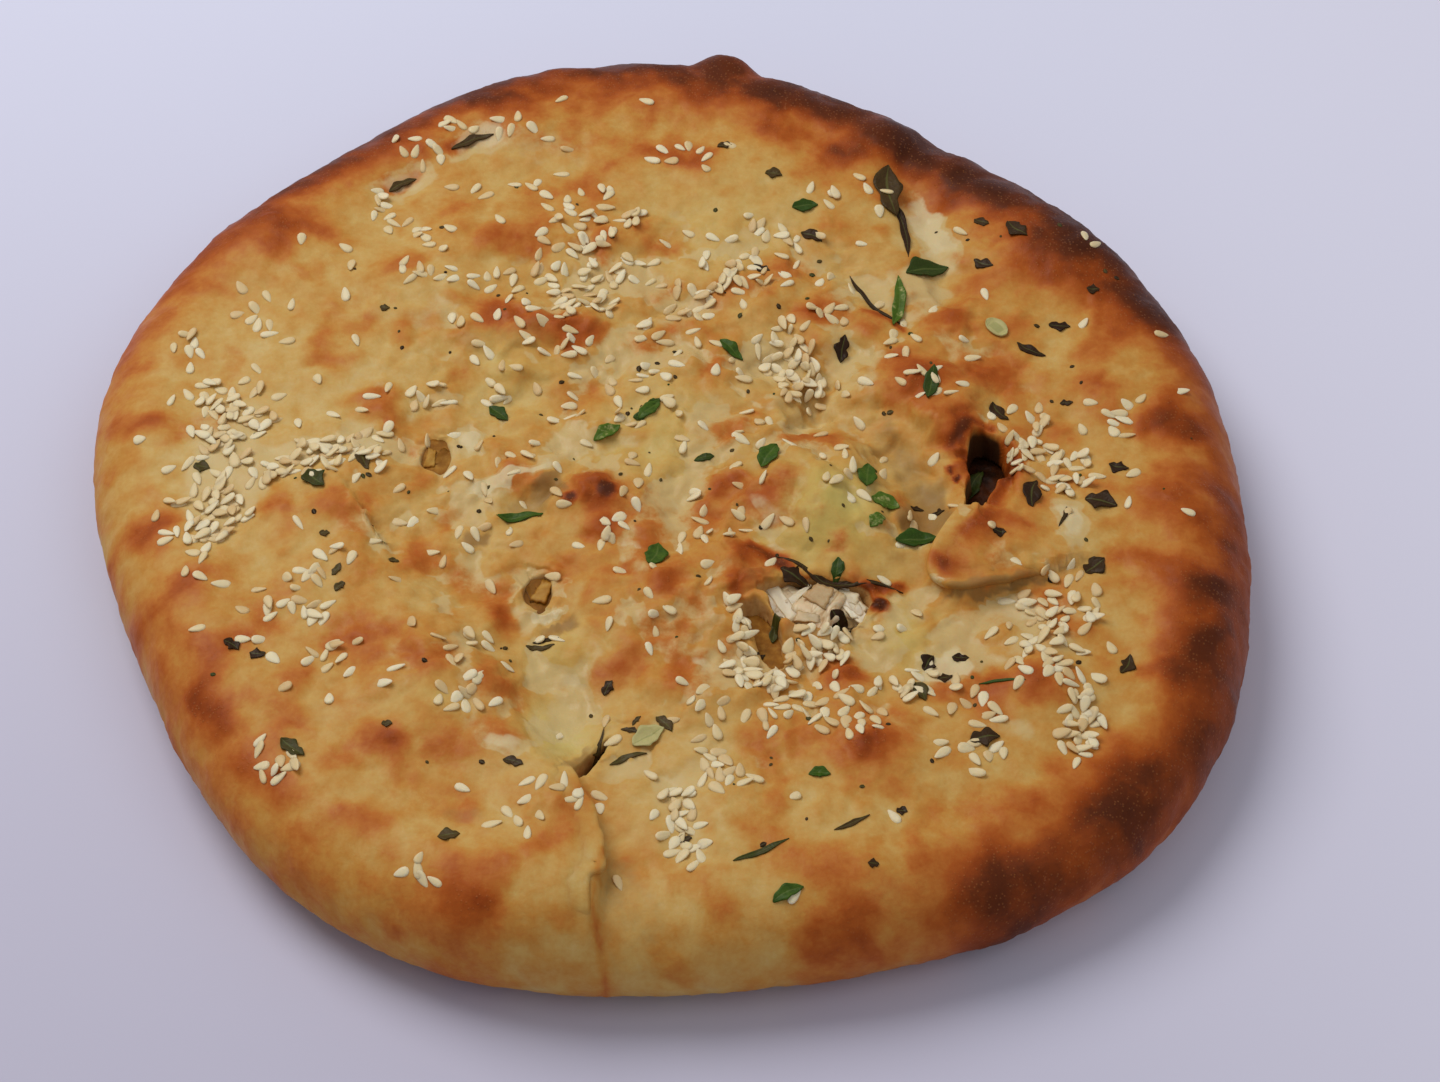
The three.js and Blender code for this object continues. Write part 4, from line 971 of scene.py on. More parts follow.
def filling_surface(clearance, rings, relief):
    """The filling layer, or with a clearance the room that it lies in."""
    edge_inset = FILLING_INSET + FILLING_EDGE_SLOPE - clearance
    plan, triangles = disc(rings, lambda angle: outline_radius(angle) - edge_inset)
    points = np.column_stack((plan, filling_height(*plan.T) + clearance))
    points[:, 2] -= relief * np.abs(rough_noise(points, 3.5, 70, 3))
    shoulder = points[-6 * rings:]
    angle = np.arctan2(shoulder[:, 1], shoulder[:, 0])
    reach = outline_radius(angle) - FILLING_INSET + clearance
    return close_disc(points, triangles, [ring_points(angle, reach, FILLING_BASE - clearance)], 2)


def cut_out(piece, tool):
    """Cuts the tool object's room out of a piece and removes the tool."""
    modifier = piece.modifiers.new("room", "BOOLEAN")
    modifier.operation = "DIFFERENCE"
    modifier.solver = "MANIFOLD"
    modifier.object = tool
    depsgraph = bpy.context.evaluated_depsgraph_get()
    cut = bpy.data.meshes.new_from_object(piece.evaluated_get(depsgraph))
    piece.modifiers.clear()
    piece.data = cut
    bpy.data.objects.remove(tool)


def fold_lip(tree, path):
    """The rounded edge of an overlying sheet of dough: points and triangles, closed round its section."""
    centre, left = centre_line(path, LIP_ROWS)
    sideways, above = np.array(LIP_SECTION).T
    plan = centre[:, None] + left[:, None] * sideways[None, :, None]
    seat = centre[:, None] + left[:, None] * np.maximum(sideways, LIP_LEVEL_FROM)[None, :, None]
    level = np.column_stack([evened(column, LIP_EVENED) for column in heights_below(tree, seat).T])
    along = np.linspace(0, 1, LIP_ROWS)[:, None]
    sunk = LIP_END_DEPTH * (soft_step(0.08, 0, along) + soft_step(0.85, 1, along))
    points = np.dstack((plan, level + above[None, :] - sunk)).reshape(-1, 3)
    grid = np.arange(LIP_ROWS * len(above)).reshape(LIP_ROWS, -1)
    after = np.roll(grid, -1, axis=1)
    return points, quads(*(corner.ravel() for corner in (grid[:-1], after[:-1], after[1:], grid[1:])))


def rim_browning_and_shade(points, warp_x, warp_y):
    """How much browner the rim is, fading inwards with an uneven edge, partly as painted shade on the near
    rim.
    """
    x, y, z = points.T
    angle = np.arctan2(y, x)
    direction, reach, deeper = RIM_BROWNED_DEEPER
    inwards = outline_radius(angle) - np.hypot(x, y) + 4 * warp_x
    inwards -= deeper * towards(angle, direction, reach)
    near_rim = sum(share * soft_step(end, begin, inwards) for share, begin, end in RIM_BROWNING_FADES)
    rim = sum(amount * towards(angle, degrees, reach) for degrees, reach, amount in RIM_BROWNING_AND_SHADE)
    most = (0.5 + 0.6 * soft_step(7, 19, z + 5 * warp_y)) * (1 + 0.34 * rough_noise(points, 10, 95, 3))
    return near_rim * np.minimum(rim, most)


def browning_and_shade(points):
    """How far each point of the crust is baked: 0 cream, 0.5 golden, 1 dark brown, with painted shade and
    light added in broad regions, along the front fold and on the near rim.
    """
    x, y = points[:, :2].T
    flat = points * PATTERN_STRETCH
    warp_x, warp_y = rough_noise(flat, 8, 80, 3), rough_noise(flat, 8, 84, 3)
    warped = flat + 2.5 * np.column_stack((warp_x, warp_y, warp_x))
    brown = MEAN_BROWN + 0.12 * noise(flat, 34, 90) + 0.08 * rough_noise(flat, 6, 6, 3)
    brown += 0.3 * soft_step(0, 0.6, noise(warped, 13, 91))
    brown += 0.17 * soft_step(0.05, 0.6, noise(warped, 6, 92))
    brown += BROWN_ON_PUFFS * (puffs(points) - PUFF_MEAN)
    brown += BROWN_AT_SPOTS * spots(x + 2.6 * warp_x, y + 2.6 * warp_y, BROWN_SPOTS, 0.9)
    brown += BROWN_ON_MOUNDS * sum(mound_rise(x, y, mound) for mound in MOUNDS)
    brown -= PALE_IN_GROOVES * sum(groove_depth(x, y, groove) for groove in GROOVES)
    for at_x, at_y, reach in CHAR_SPOTS:
        brown += BROWN_AT_CHAR * np.exp(-(((x - at_x) ** 2 + (y - at_y) ** 2) / reach ** 2) ** 2)
    for path, half, amount in CHARRED_AND_SHADED_LINES:
        brown += amount * near_path(x + 1.2 * warp_x, y + 1.2 * warp_y, path, half)
    brown += rim_browning_and_shade(points, warp_x, warp_y)
    return brown - PALE_WHERE_YELLOW * spots(x, y, YELLOW_SPOTS) + spots(x, y, BROWNER_REGIONS_AND_PAINTED_SHADE)


def paleness_and_shade(points):
    """How pale and damp each point is: the flaked patches and the folds between the puffs. Below 0 it is
    darker: painted shade in hollows and under edges, and thin dough.
    """
    x, y = points[:, :2].T
    flat = points * PATTERN_STRETCH
    warp_x, warp_y = rough_noise(flat, 7, 94, 3), rough_noise(flat, 7, 98, 3)
    pale = 0.3 * soft_step(0.15, 0.55, noise(flat, 10, 93)) * busyness(x, y)
    pale += 0.3 * soft_step(0.42, 0.15, puffs(points)) * busyness(x, y) + 0.55 * flaked(points)
    for *place, amount in PALE_PATCHES:
        inside = oval(x + 3 * warp_x, y + 3 * warp_y, *place, power=4)
        pale = pale + amount * inside if amount > 0 else pale * (1 - inside) + amount * inside
    return np.clip(pale, -1.2, 2)


def add_bread():
    """The dough, opened over the room of its filling, with its colours as attributes."""
    bread = mesh_object("bread_crust", *bread_surface())
    cut_out(bread, mesh_object("filling_room", *filling_surface(CLEARANCE, ROOM_RINGS, 0)))
    crust_tree = tree_of(bread)
    parts = [mesh_arrays(bread)] + [fold_lip(crust_tree, path) for path in FOLD_LIPS]
    bpy.data.objects.remove(bread)
    bread = join("bread_crust", parts, ())
    points, _ = mesh_arrays(bread)
    x, y = points[:, :2].T
    past = np.min([past_edge(x, y, tear) for tear in TEARS], axis=0)
    scorched = near_path(x, y, SCORCHED_WALL, 1.3)
    set_attribute(bread, "brown", browning_and_shade(points))
    set_attribute(bread, "crumb", soft_step(0.4, -0.3, past) * (1 - 0.6 * scorched))
    set_attribute(bread, "yellow", np.clip(spots(x, y, YELLOW_SPOTS), 0, 1))
    set_attribute(bread, "pale", paleness_and_shade(points))
    set_attribute(bread, "shade", inner_shade(x, y))
    return bread


def add_filling():
    points, triangles = filling_surface(0, FILLING_RINGS, FILLING_CRAGS)
    filling = mesh_object("minced_filling", points, triangles)
    set_attribute(filling, "shade", inner_shade(points[:, 0], points[:, 1]))
    return filling


def chicken_lump(tree, random, x, y, half_u, half_v, half_w, turn):
    """A flat torn piece of chicken with a ragged edge, ridged along its fibres."""
    phase = random.uniform(0, 6, 3)

    def edge(angle):
        return 1 + 0.14 * np.sin(3 * angle + phase[0]) + 0.1 * np.sin(7 * angle + phase[1])

    plan, triangles = disc(CHICKEN_RINGS, edge)
    share = np.hypot(*plan.T) / edge(np.arctan2(plan[:, 1], plan[:, 0]))
    u, v = half_u * plan[:, 0], half_v * plan[:, 1]
    place = flat_points(u + x, v + y)
    fibres = np.abs(rough_noise(place * (0.22, 1, 1), 1.6, 110, 2))
    sheets = soft_step(-0.06, 0.06, noise(place * (0.5, 1, 1), 3.4, 120))
    domed = np.sqrt(np.maximum(1 - share ** 3, 0))
    height = surface_below(tree, x, y)[0] + half_w * domed * (0.8 + 0.1 * fibres + 0.1 * sheets)
    dx, dy = turned(u, v, 0, 0, -turn)
    points = np.column_stack((x + dx, y + dy, height))
    foot = points[-6 * CHICKEN_RINGS:] - (0, 0, half_w)
    points, triangles = close_disc(points, triangles, [foot], 2)
    split = np.zeros(len(points))
    # Darker where the fibres and sheets lie low: painted shade in the splits
    split[:len(plan)] = 0.25 + 0.5 * soft_step(0.2, 0, fibres) + 0.25 * (1 - sheets)
    return points, triangles, split


def sheet_triangles(rows, columns):
    """Triangles of a thin sheet: its upper face, its lower face and its rim."""
    grid = np.arange(rows * columns).reshape(rows, columns)
    corners = (grid[:-1, :-1], grid[1:, :-1], grid[1:, 1:], grid[:-1, 1:])
    upper = quads(*(corner.ravel() for corner in corners))
    lower = upper[:, ::-1] + rows * columns
    rim = np.concatenate((grid[0, :-1], grid[:-1, -1], grid[-1, :0:-1], grid[:0:-1, 0]))
    after = np.roll(rim, -1)
    side = quads(rim, after, after + rows * columns, rim + rows * columns)
    return np.vstack((upper, lower, side))


def flat_bit(tree, random, x, y, length, width, turn, lift, tilt, taper, tone):
    """A flat bit with straight, slightly nicked edges: points, triangles and shade, darker at its edge."""
    share = np.linspace(-1, 1, FLAT_BIT_ROWS)[:, None]
    across = share.T
    phase = random.uniform(0, 6, 2)
    u = share * length / 2 * (1 + random.uniform(-0.2, 0.2) * across + 0.05 * np.sin(7 * across + phase[0]))
    v = across * width / 2 * (1 - taper * (share + 1) / 2 + 0.06 * np.sin(8 * share + phase[1]))
    dx, dy = turned(u, v, 0, 0, -turn)
    ripple = 0.06 * np.sin(4 * share + 3 * across + phase[0])
    height = surface_below(tree, x, y)[0] + lift + tilt * v + ripple
    upper = np.dstack((x + dx, y + dy, height)).reshape(-1, 3)
    edge = np.maximum(np.abs(share), np.abs(across)).ravel() ** 8
    shade = tone + 0.35 * np.concatenate((edge, edge))
    points = np.vstack((upper, upper - (0, 0, FLAT_BIT_THICKNESS)))
    return points, sheet_triangles(FLAT_BIT_ROWS, FLAT_BIT_ROWS), shade


def add_chicken(filling_tree, filling):
    """The chicken in the torn middle: lumps first, and flat sheets on them."""
    random = np.random.default_rng(CHICKEN_RANDOM_START)
    parts = [chicken_lump(filling_tree, random, *piece) for piece in CHICKEN_PIECES]
    lumps = join("chicken_lumps", parts, ())
    tree = tree_of(filling, lumps)
    bpy.data.objects.remove(lumps)
    parts += [flat_bit(tree, random, *flake) for flake in CHICKEN_FLAKES]
    return join("chicken_shreds", parts, ("split",))


def add_onion(filling_tree):
    random = np.random.default_rng(ONION_RANDOM_START)
    parts = [flat_bit(filling_tree, random, *bit) for bit in ONION_BITS]
    return join("browned_onion", parts, ("shade",))


def strip(tree, path, offsets, lift, thickness, hug=LEAF_HUG):
    """A thin sheet along a path, lying on what the tree holds: points, triangles, place across."""
    rows, columns = offsets.shape
    centre, sideways = centre_line(path, rows)
    plan = centre[:, None] + sideways[:, None] * offsets[..., None]
    bed = heights_below(tree, plan)
    resting = evened(0.25 * bed.mean(axis=1) + 0.75 * bed.max(axis=1), 3)
    height = hug * bed + (1 - hug) * resting[:, None] + lift + 0.6 * thickness
    upper = np.dstack((plan, height)).reshape(-1, 3)
    points = np.vstack((upper, upper - (0, 0, thickness)))
    return points, sheet_triangles(rows, columns), np.tile(np.abs(np.linspace(-1, 1, columns)), 2 * rows)


def straight_path(x, y, length, turn, bend):
    """A short path through a point, bowed sideways by bend."""
    cosine, sine = math.cos(turn * DEGREE), math.sin(turn * DEGREE)
    reach_x, reach_y = length / 2 * cosine, length / 2 * sine
    return (x - reach_x, y - reach_y), (x - bend * sine, y + bend * cosine), (x + reach_x, y + reach_y)


def leaf_part(tree, random, path, width, tone, hug=LEAF_HUG):
    """One leaf or bit of leaf: toothed while green, flat and with crooked corners when burnt."""
    share = np.linspace(0, 1, LEAF_ROWS)[:, None]
    across = np.linspace(-1, 1, LEAF_COLUMNS)[None, :]
    phase = random.uniform(0, 6, 3)
    belly = np.maximum(np.sin(np.pi * share ** 0.9), 0) ** 0.85
    teeth = 1 + LEAF_TOOTH_DEPTH * across ** 2 * np.sin(LEAF_TEETH * share + 2 * across + phase[0])
    corners = np.abs((3.2 * share + phase[1] + 0.7 * np.sign(across)) % 2 - 1) - 0.5
    offsets = np.maximum(belly * teeth * (1 + 0.7 * tone * corners), 0.05) * width / 2 * across
    fold = random.uniform(0.1, 0.45) * (1 - 0.5 * tone) * np.abs(offsets)
    curl = random.uniform(0, 0.18) * (1 - 0.7 * tone) * width * (2 * share - 1) ** 2
    ripple = 0.03 * width * np.sin(7 * share + 2 * across + phase[2])
    points, triangles, place = strip(tree, path, offsets, fold + curl + ripple, LEAF_THICKNESS, hug)
    return points, triangles, place, np.full(len(points), tone + random.uniform(-0.06, 0.06))


def onion_slice_part(tree):
    """A slice of green onion: a small dish with a raised rim."""
    x, y, length, width, turn = ONION_SLICE
    along = np.linspace(-1, 1, LEAF_ROWS)[:, None]
    across = np.linspace(-1, 1, LEAF_COLUMNS)[None, :]
    offsets = np.sqrt(np.maximum(1 - along ** 2, 0.02)) * width / 2 * across
    rim = np.maximum(np.abs(along), np.abs(across)) ** 4
    points, triangles, _ = strip(tree, straight_path(x, y, length, turn, 0), offsets, 0.5 * rim, 0.5)
    edge = np.broadcast_to(rim, offsets.shape).ravel()
    return points, triangles, np.concatenate((edge, edge)), np.full(len(points), ONION_SLICE_TONE)


def speck_part(tree, random, x, y):
    """A tiny flat bit of spice or dried herb."""
    size = random.uniform(0.5, 1.5)
    share = np.linspace(0, 1, 5)[:, None]
    offsets = 0.35 * size * np.sin(np.pi * share) ** 0.5 * np.linspace(-1, 1, 3)[None, :]
    path = straight_path(x, y, size, random.uniform(0, 180), 0.1 * size)
    points, triangles, across = strip(tree, path, offsets, 0, SPECK_THICKNESS)
    return points, triangles, across, np.full(len(points), random.uniform(0.4, 1))


def add_herbs(tree, filling_tree):
    """The herb leaves of the solids, the strips that wind over the crust and the slice of green onion."""
    random = np.random.default_rng(LEAF_RANDOM_START)
    parts = []
    for x, y, length, width, turn, tone in HERBS:
        path = straight_path(x, y, length, turn, random.uniform(-LEAF_BEND, LEAF_BEND) * length)
        parts.append(leaf_part(tree, random, path, width, tone))
    x, y, length, width, turn, tone = HERB_IN_OPENING
    parts.append(leaf_part(filling_tree, random, straight_path(x, y, length, turn, 0.8), width, tone))
    parts += [leaf_part(tree, random, path, width, tone, STRAND_HUG) for path, width, tone in STRANDS]
    parts.append(onion_slice_part(tree))
    return join("herb_leaves", parts, ("across", "tone"))


def add_flakes(tree):
    """Small bits of dried leaf, and specks of spice scattered round the middle."""
    random = np.random.default_rng(FLAKE_RANDOM_START)
    parts = []
    for x, y, length, width, turn, tone in FLAKES:
        path = straight_path(x, y, length, turn, random.uniform(-FLAKE_BEND, FLAKE_BEND) * length)
        parts.append(leaf_part(tree, random, path, width, tone, FLAKE_HUG))
    while len(parts) < len(FLAKES) + SPECK_COUNT:
        x, y = random.normal(0, SPECK_SPREAD, 2)
        if math.hypot(x, y) <= MEAN_RADIUS - SPECK_RIM_MARGIN:
            parts.append(speck_part(tree, random, x, y))
    return join("dried_flakes", parts, ("across", "tone"))


def seed_mesh():
    """One sesame seed: a flat drop with a level top, blunt at one end and pointed at the other."""
    points = [(-1, 0, 0)]
    for row in range(1, SEED_ROWS):
        along = -math.cos(math.pi * row / SEED_ROWS)
        reach = math.sin(math.pi * row / SEED_ROWS)
        for column in range(SEED_COLUMNS):
            angle = 2 * math.pi * column / SEED_COLUMNS
            points.append((along, reach * math.cos(angle), reach * math.sin(angle)))
    points.append((1, 0, 0))
    points = np.array(points, float)
    points[:, 2] = np.tanh(2 * points[:, 2]) / np.tanh(2)
    slim = 1 - 0.4 * points[:, :1]
    points *= np.hstack((np.ones_like(slim), slim, slim))
    points *= (SEED_LENGTH / 2, SEED_WIDTH / 2, SEED_THICKNESS / 2)
    step = np.arange(SEED_COLUMNS)
    after = (step + 1) % SEED_COLUMNS
    last = np.full(SEED_COLUMNS, len(points) - 1)
    blunt_end = np.column_stack((0 * step, 1 + after, 1 + step))
    pointed_end = np.column_stack((last, last - SEED_COLUMNS + step, last - SEED_COLUMNS + after))
    triangles = [blunt_end, pointed_end]
    for row in range(SEED_ROWS - 2):
        here, above = 1 + row * SEED_COLUMNS, 1 + (row + 1) * SEED_COLUMNS
        triangles.append(quads(here + step, here + after, above + after, above + step))
    return points, np.vstack(triangles)


def on_whole_crust(x, y):
    """Whether a place lies inside the rim and outside the tears."""
    inside = math.hypot(x, y) <= outline_radius(np.array(math.atan2(y, x))) - SEED_RIM_MARGIN
    return inside and all(tear_share(np.array(x), np.array(y), tear) >= SEED_TEAR_SHARE for tear in TEARS)


def seed_places(tree):
    """Where each seed lies: plan place, height, normal, spin, lean, tone and size."""
    random = np.random.default_rng(SEED_RANDOM_START)
    taken = np.zeros((0, 2))
    places = []
    for at_x, at_y, spread_u, spread_v, turn, count in SEED_DRIFTS:
        most_near = 1 if count > SEED_THIN_DRIFT else 0
        placed = 0
        for _ in range(count * SEED_TRIES):
            if placed > SEED_PLENTY * count:
                break
            u, v = random.normal(0, 1, 2) * (spread_u, spread_v) * SEED_SPREAD
            dx, dy = turned(u, v, 0, 0, -turn)
            x, y = at_x + dx, at_y + dy
            spin, lean, tone = random.uniform(0, 360), random.normal(0, SEED_LEAN), random.uniform(0, 1)
            size = random.normal(1, SEED_LENGTH_VARIES), random.normal(1, SEED_WIDTH_VARIES)
            near = (np.hypot(*(taken - (x, y)).T) < SEED_SPACING).sum()
            if near > most_near or not on_whole_crust(x, y):
                continue
            taken = np.vstack((taken, (x, y)))
            height, normal = surface_below(tree, x, y)
            height, lean = height + SEED_PILE_STEP * near, lean + SEED_PILE_LEAN * near
            places.append((x, y, height, normal, spin, lean, tone, size))
            placed += 1
    return places


def add_sesame(tree):
    seed, triangles = seed_mesh()
    parts = []
    for x, y, height, normal, spin, lean, tone, size in seed_places(tree):
        cosine, sine = math.cos(spin * DEGREE), math.sin(spin * DEGREE)
        laid = seed * (*size, 1) @ np.array(((cosine, sine, 0), (-sine, cosine, 0), (0, 0, 1)))
        laid[:, 2] += lean * laid[:, 0]
        axis = Vector((0, 0, 1)).rotation_difference(normal).to_matrix()
        laid = laid @ np.array(axis).T
        laid += np.array((x, y, height)) + np.array(normal) * SEED_THICKNESS * SEED_LIFT
        parts.append((laid, triangles, np.full(len(laid), tone)))
    return join("sesame_seeds", parts, ("tone",))


def colour(red, green, blue):
    """A colour given as it looks on a screen, from 0 to 255, as the shader wants it."""
    shares = (red / 255, green / 255, blue / 255)
    linear = [share / 12.92 if share < 0.04 else ((share + 0.055) / 1.055) ** 2.4 for share in shares]
    return (*linear, 1)


class Nodes:
    """Builds one material's node tree, so that each line of it is short."""

    def __init__(self, name):
        self.material = bpy.data.materials.new(name)
        self.material.use_nodes = True
        self.tree = self.material.node_tree
        self.surface = self.tree.nodes["Principled BSDF"]

    def add(self, kind, inputs=None, **settings):
        """A node with its settings, and with values or links for its inputs."""
        node = self.tree.nodes.new(kind)
        for key, value in settings.items():
            setattr(node, key, value)
        for key, value in (inputs or {}).items():
            self.put(node.inputs[key], value)
        return node

    def put(self, socket, value):
        """Links an output to a socket, or sets the socket to a plain value."""
        if isinstance(value, bpy.types.NodeSocket):
            self.tree.links.new(value, socket)
        else:
            socket.default_value = value

    def attribute(self, name):
        return self.add("ShaderNodeAttribute", attribute_name=name).outputs["Fac"]

    def place(self):
        return self.add("ShaderNodeTexCoord").outputs["Object"]

    def noise(self, scale, detail, roughness, distortion=0):
        """Noise with scale lumps to a metre."""
        inputs = {"Vector": self.place(), "Scale": scale, "Detail": detail,
                  "Roughness": roughness, "Distortion": distortion}
        return self.add("ShaderNodeTexNoise", inputs).outputs["Fac"]

    def cells(self, scale, feature="F1"):
        inputs = {"Vector": self.place(), "Scale": scale}
        return self.add("ShaderNodeTexVoronoi", inputs, feature=feature).outputs["Distance"]

    def math(self, operation, first, second):
        return self.add("ShaderNodeMath", {0: first, 1: second}, operation=operation).outputs["Value"]

    def times(self, first, second):
        return self.math("MULTIPLY", first, second)

    def plus(self, first, second):
        return self.math("ADD", first, second)

    def varied(self, value, texture, amount):
        """A value moved up and down by a texture that swings round one half."""
        return self.plus(value, self.times(self.plus(texture, -0.5), amount))

    def span(self, value, low, high, to_low=0, to_high=1):
        """A value taken smoothly from between low and high to between to_low and to_high."""
        inputs = {"Value": value, "From Min": low, "From Max": high, "To Min": to_low, "To Max": to_high}
        return self.add("ShaderNodeMapRange", inputs, interpolation_type="SMOOTHSTEP").outputs["Result"]

    def mix(self, share, first, second):
        node = self.add("ShaderNodeMix", data_type="RGBA")
        for key, value in (("Factor", share), ("A", first), ("B", second)):
            self.put(node.inputs[key], value)
        return node.outputs["Result"]

    def tinted(self, base, share, screen):
        """A base colour with a share of another, which is given as it looks on a screen."""
        return self.mix(share, base, colour(*screen))

    def ramp(self, value, stops):
        """Colours along a value, from stops that each give a place and a colour on a screen."""
        node = self.add("ShaderNodeValToRGB", {"Fac": value})
        elements = node.color_ramp.elements
        while len(elements) < len(stops):
            elements.new(1)
        for element, (position, *screen) in zip(elements, stops):
            element.position = position
            element.color = colour(*screen)
        return node.outputs["Color"]

    def bump(self, height, strength, distance):
        inputs = {"Height": height, "Strength": strength, "Distance": distance}
        return self.add("ShaderNodeBump", inputs).outputs["Normal"]

    def finish(self, scatter=None, **sockets):
        """Sets the surface: scatter is how much light sinks in, and how far in red, green and blue."""
        if scatter:
            share, *reach = scatter
            sockets.update(Subsurface_Weight=share, Subsurface_Radius=reach, Subsurface_Scale=1)
        for name, value in sockets.items():
            self.put(self.surface.inputs[name.replace("_", " ")], value)
        return self.material


def crust_material():
    """Baked dough: cream to dark brown, buttery, with pin blisters on the dark spots, and the painted shade
    that its attributes carry.
    """
    n = Nodes("baked_crust")
    mottle = n.noise(260, 4, 0.6)
    grain = n.noise(900, 3, 0.6)
    brown = n.varied(n.varied(n.attribute("brown"), mottle, 0.34), grain, 0.22)
    pale = n.varied(n.attribute("pale"), mottle, 0.7)
    damp = n.times(n.span(pale, 0.35, 0.65), n.span(brown, 0.56, 0.3))
    pins = n.times(n.span(n.cells(1300), 0.34, 0.12), n.span(brown, 0.66, 0.95))
    baked = n.ramp(n.times(brown, 1 / BROWNEST), CRUST_RAMP)
    baked = n.tinted(baked, n.times(n.attribute("yellow"), n.span(brown, 0.75, 0.35, 0, 0.8)), BUTTERY)
    baked = n.tinted(baked, n.times(damp, 0.7), DAMP_DOUGH)
    baked = n.tinted(baked, n.span(pale, 1, 1.5, 0, 0.8), BARE_DOUGH)
    # Darker where the paleness is negative: painted shade in hollows and under edges, and thin dough
    baked = n.tinted(baked, n.span(pale, -0.1, -0.9, 0, 0.8), THIN_DOUGH_AND_PAINTED_SHADE)
    baked = n.tinted(baked, n.times(pins, 0.24), PIN_BLISTER)
    crumb = n.ramp(n.noise(500, 4, 0.65), CRUMB_RAMP)
    # Darker crumb inside the dark tears: scorching and painted shade
    crumb = n.tinted(crumb, n.span(n.attribute("shade"), 0.3, 1), SCORCHED_AND_SHADED_CRUMB)
    inside = n.span(n.varied(n.attribute("crumb"), mottle, 0.5), 0.3, 0.7)
    height = n.plus(n.times(mottle, 0.6), n.plus(n.times(grain, 0.25), n.times(pins, 0.3)))
    sheen = n.span(n.noise(120, 3, 0.5), 0.35, 0.65, 0.42, 0.6)
    return n.finish(
        scatter=(0.12, 0.003, 0.0014, 0.0006), Base_Color=n.mix(inside, baked, crumb),
        Roughness=n.plus(sheen, n.times(damp, -0.2)), Specular_IOR_Level=0.14,
        Normal=n.bump(height, 0.55, 0.0006),
    )


def sesame_material():
    n = Nodes("sesame_hull")
    return n.finish(
        scatter=(0.25, 0.002, 0.0014, 0.0009), Base_Color=n.ramp(n.attribute("tone"), SESAME_RAMP),
        Roughness=0.5, Specular_IOR_Level=0.3, Normal=n.bump(n.noise(2500, 2, 0.55), 0.2, 0.0001),
    )


def herb_material():
    """Wilted leaf: green to olive and burnt brown by tone, with a paler midrib and a dull gloss."""
    n = Nodes("wilted_herb")
    mottle = n.noise(700, 3, 0.6)
    base = n.ramp(n.varied(n.attribute("tone"), mottle, 0.25), HERB_RAMP)
    base = n.tinted(base, n.span(n.attribute("across"), 0.14, 0.02, 0, 0.35), HERB_RIB)
    return n.finish(
        scatter=(0.08, 0.0006, 0.0012, 0.0003), Base_Color=base,
        Roughness=n.span(mottle, 0.1, 0.9, 0.34, 0.5), Specular_IOR_Level=0.14,
        Normal=n.bump(n.noise(900, 2, 0.5, 1.5), 0.5, 0.0003),
    )


def chicken_material():
    """Cooked chicken: greyish cream, darker in the low splits along its fibres as painted shade."""
    n = Nodes("cooked_chicken")
    streaks = n.noise(900, 4, 0.65)
    return n.finish(
        scatter=(0.25, 0.003, 0.0016, 0.001),
        Base_Color=n.ramp(n.varied(n.attribute("split"), streaks, 0.4), CHICKEN_RAMP),
        Roughness=0.42, Normal=n.bump(streaks, 0.4, 0.0003),
    )


def onion_material():
    """Soft browned onion: wet, a little clear, darker at its edges."""
    n = Nodes("browned_onion")
    fibres = n.noise(600, 3, 0.55)
    shade = n.varied(n.attribute("shade"), fibres, 0.9)
    return n.finish(
        scatter=(0.15, 0.003, 0.0015, 0.0006), Base_Color=n.ramp(n.span(shade, -0.5, 1), ONION_RAMP),
        Roughness=0.42, Specular_IOR_Level=0.12, Normal=n.bump(fibres, 0.3, 0.0003),
    )


def filling_material():
    """Moist minced filling: beige meat, brown onion and, under the dark opening, nearly black: painted deep
    shade, and burnt.
    """
    n = Nodes("moist_filling")
    streaks = n.noise(380, 4, 0.6)
    lumps = n.plus(n.times(n.cells(420, "SMOOTH_F1"), 0.9), n.times(streaks, 0.6))
    return n.finish(
        scatter=(0.2, 0.003, 0.0015, 0.0007),
        Base_Color=n.ramp(n.varied(n.attribute("shade"), streaks, 0.35), FILLING_RAMP),
        Roughness=n.span(streaks, 0.3, 0.7, 0.4, 0.6), Specular_IOR_Level=0.08,
        Normal=n.bump(lumps, 0.8, 0.0008),
    )


def add_camera():
    """The photograph's angle and framing."""
    camera = bpy.data.cameras.new("camera")
    camera.lens = CAMERA_LENS
    camera.sensor_width = CAMERA_SENSOR
    camera.clip_start = CAMERA_CLIP_START
    holder = add_object("camera", camera)
    tilt = CAMERA_ELEVATION * DEGREE
    back = Vector((0, -math.cos(tilt), math.sin(tilt)))
    holder.location = Vector(CAMERA_TARGET) + CAMERA_DISTANCE * back
    holder.rotation_euler = (math.pi / 2 - tilt, 0, 0)
    bpy.context.scene.camera = holder


def add_area_light(name, location, size, power, tint):
    light = bpy.data.lights.new(name, "AREA")
    light.shape = "DISK"
    light.size = size
    light.energy = power
    light.color = tint
    holder = add_object(name, light)
    holder.location = location
    holder.rotation_euler = (-Vector(location)).to_track_quat("-Z", "Y").to_euler()


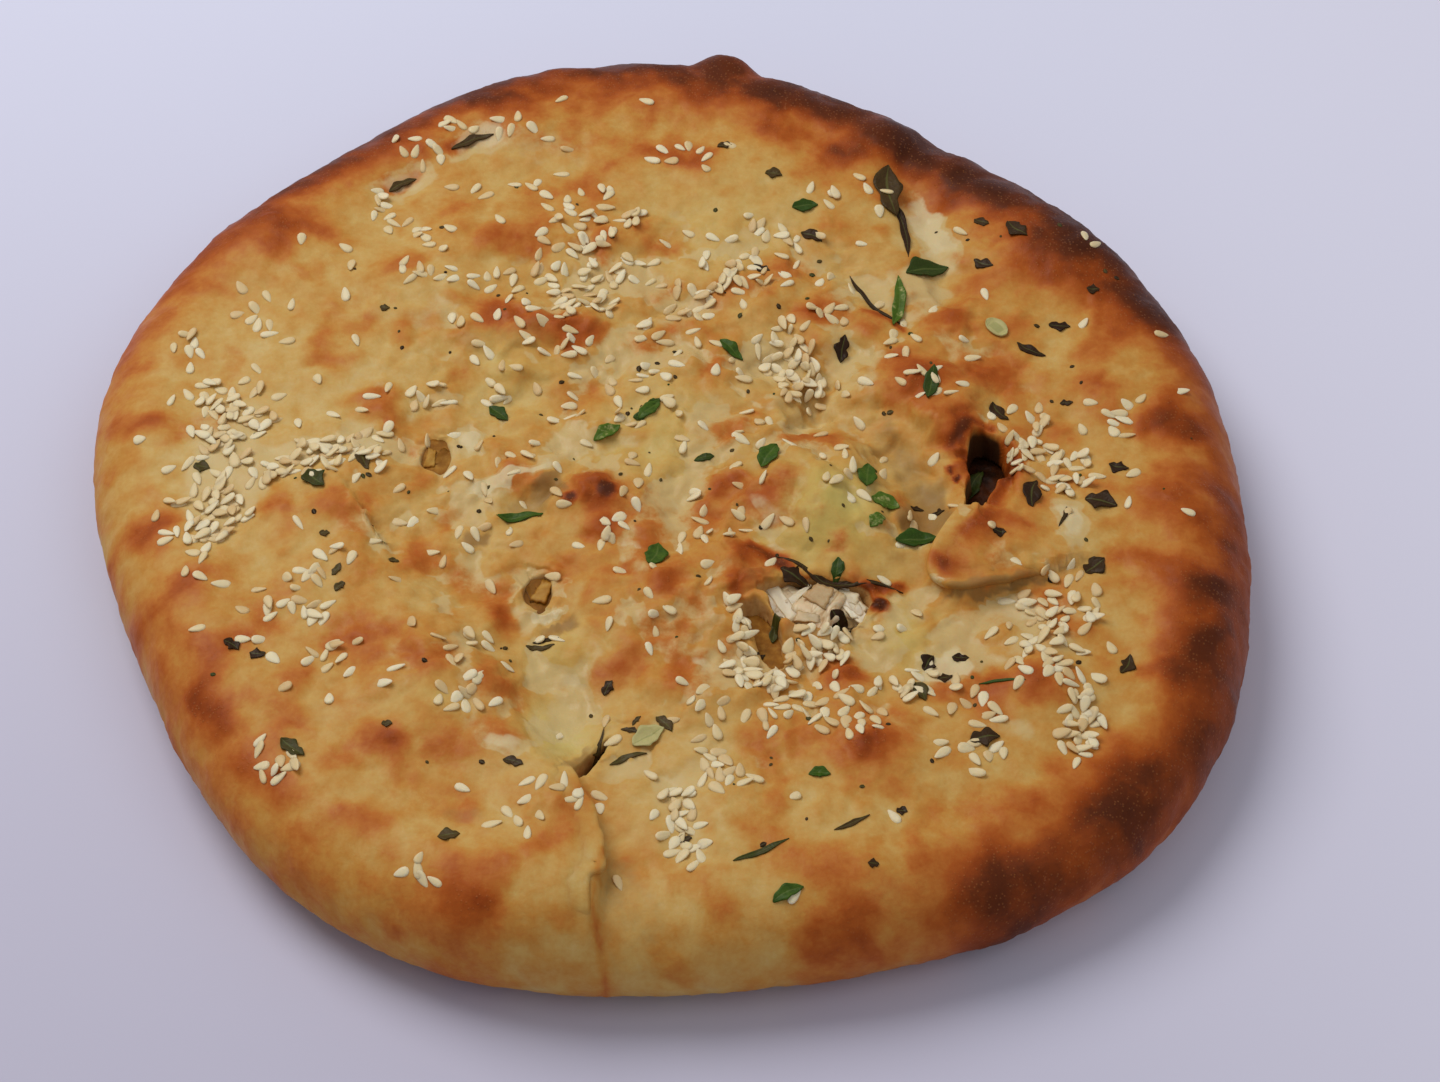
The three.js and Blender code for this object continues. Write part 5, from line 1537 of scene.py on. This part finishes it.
def add_studio():
    """A pale floor with painted shade towards the near side and painted light to the right, soft light from
    above and behind, and a faint light from all round.
    """
    corners = np.array([(-1, -1, 0), (1, -1, 0), (1, 1, 0), (-1, 1, 0)], float) * FLOOR_REACH
    floor = mesh_object("studio_floor", corners, np.array([(0, 1, 2), (0, 2, 3)]))
    n = Nodes("studio_floor")
    place = n.add("ShaderNodeSeparateXYZ", {"Vector": n.place()}).outputs
    away = n.plus(place["Y"], n.times(place["X"], 0.3))
    shade = n.tinted(colour(*FLOOR_NEAR_PAINTED_SHADE), n.span(away, -0.3, 0.25), FLOOR_FAR)
    shade = n.tinted(shade, n.span(place["X"], 0, 0.22, 0, 0.55), FLOOR_RIGHT_PAINTED_LIGHT)
    floor.data.materials.append(n.finish(Base_Color=shade, Roughness=0.8))
    for light in LIGHTS:
        add_area_light(*light)
    world = bpy.data.worlds.new("studio")
    world.use_nodes = True
    backdrop = world.node_tree.nodes["Background"]
    backdrop.inputs["Color"].default_value = SKY_COLOUR
    backdrop.inputs["Strength"].default_value = SKY_STRENGTH
    bpy.context.scene.world = world
    bpy.context.scene.view_settings.view_transform = "Standard"


def finish_piece(piece, material, slot, *nodes):
    """Gives a piece its material, hangs it under the root and hides the CAD nodes that it stands for. The
    slot is not used.
    """
    piece.data.materials.clear()
    piece.data.materials.append(material)
    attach(piece, "root")
    if nodes:
        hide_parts(*nodes)


def nodes_named(start):
    return [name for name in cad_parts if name.startswith(start)]


def dress():
    """Makes all the pieces, each laid on those before it."""
    bread = add_bread()
    filling = add_filling()
    bread_tree = tree_of(bread)
    filling_tree = tree_of(filling)
    chicken = add_chicken(filling_tree, filling)
    onion = add_onion(filling_tree)
    laid_on = tree_of(bread, filling, chicken, onion)
    herb = herb_material()
    finish_piece(bread, crust_material(), "crust", "bread")
    finish_piece(filling, filling_material(), "filling", "filling")
    finish_piece(chicken, chicken_material(), "chicken", *nodes_named("chicken"))
    finish_piece(onion, onion_material(), "onion", *nodes_named("onion"))
    finish_piece(add_herbs(laid_on, filling_tree), herb, "herb", *nodes_named("herb"))
    finish_piece(add_flakes(laid_on), herb, "herb")
    finish_piece(add_sesame(bread_tree), sesame_material(), "sesame")


dress()
add_studio()
add_camera()
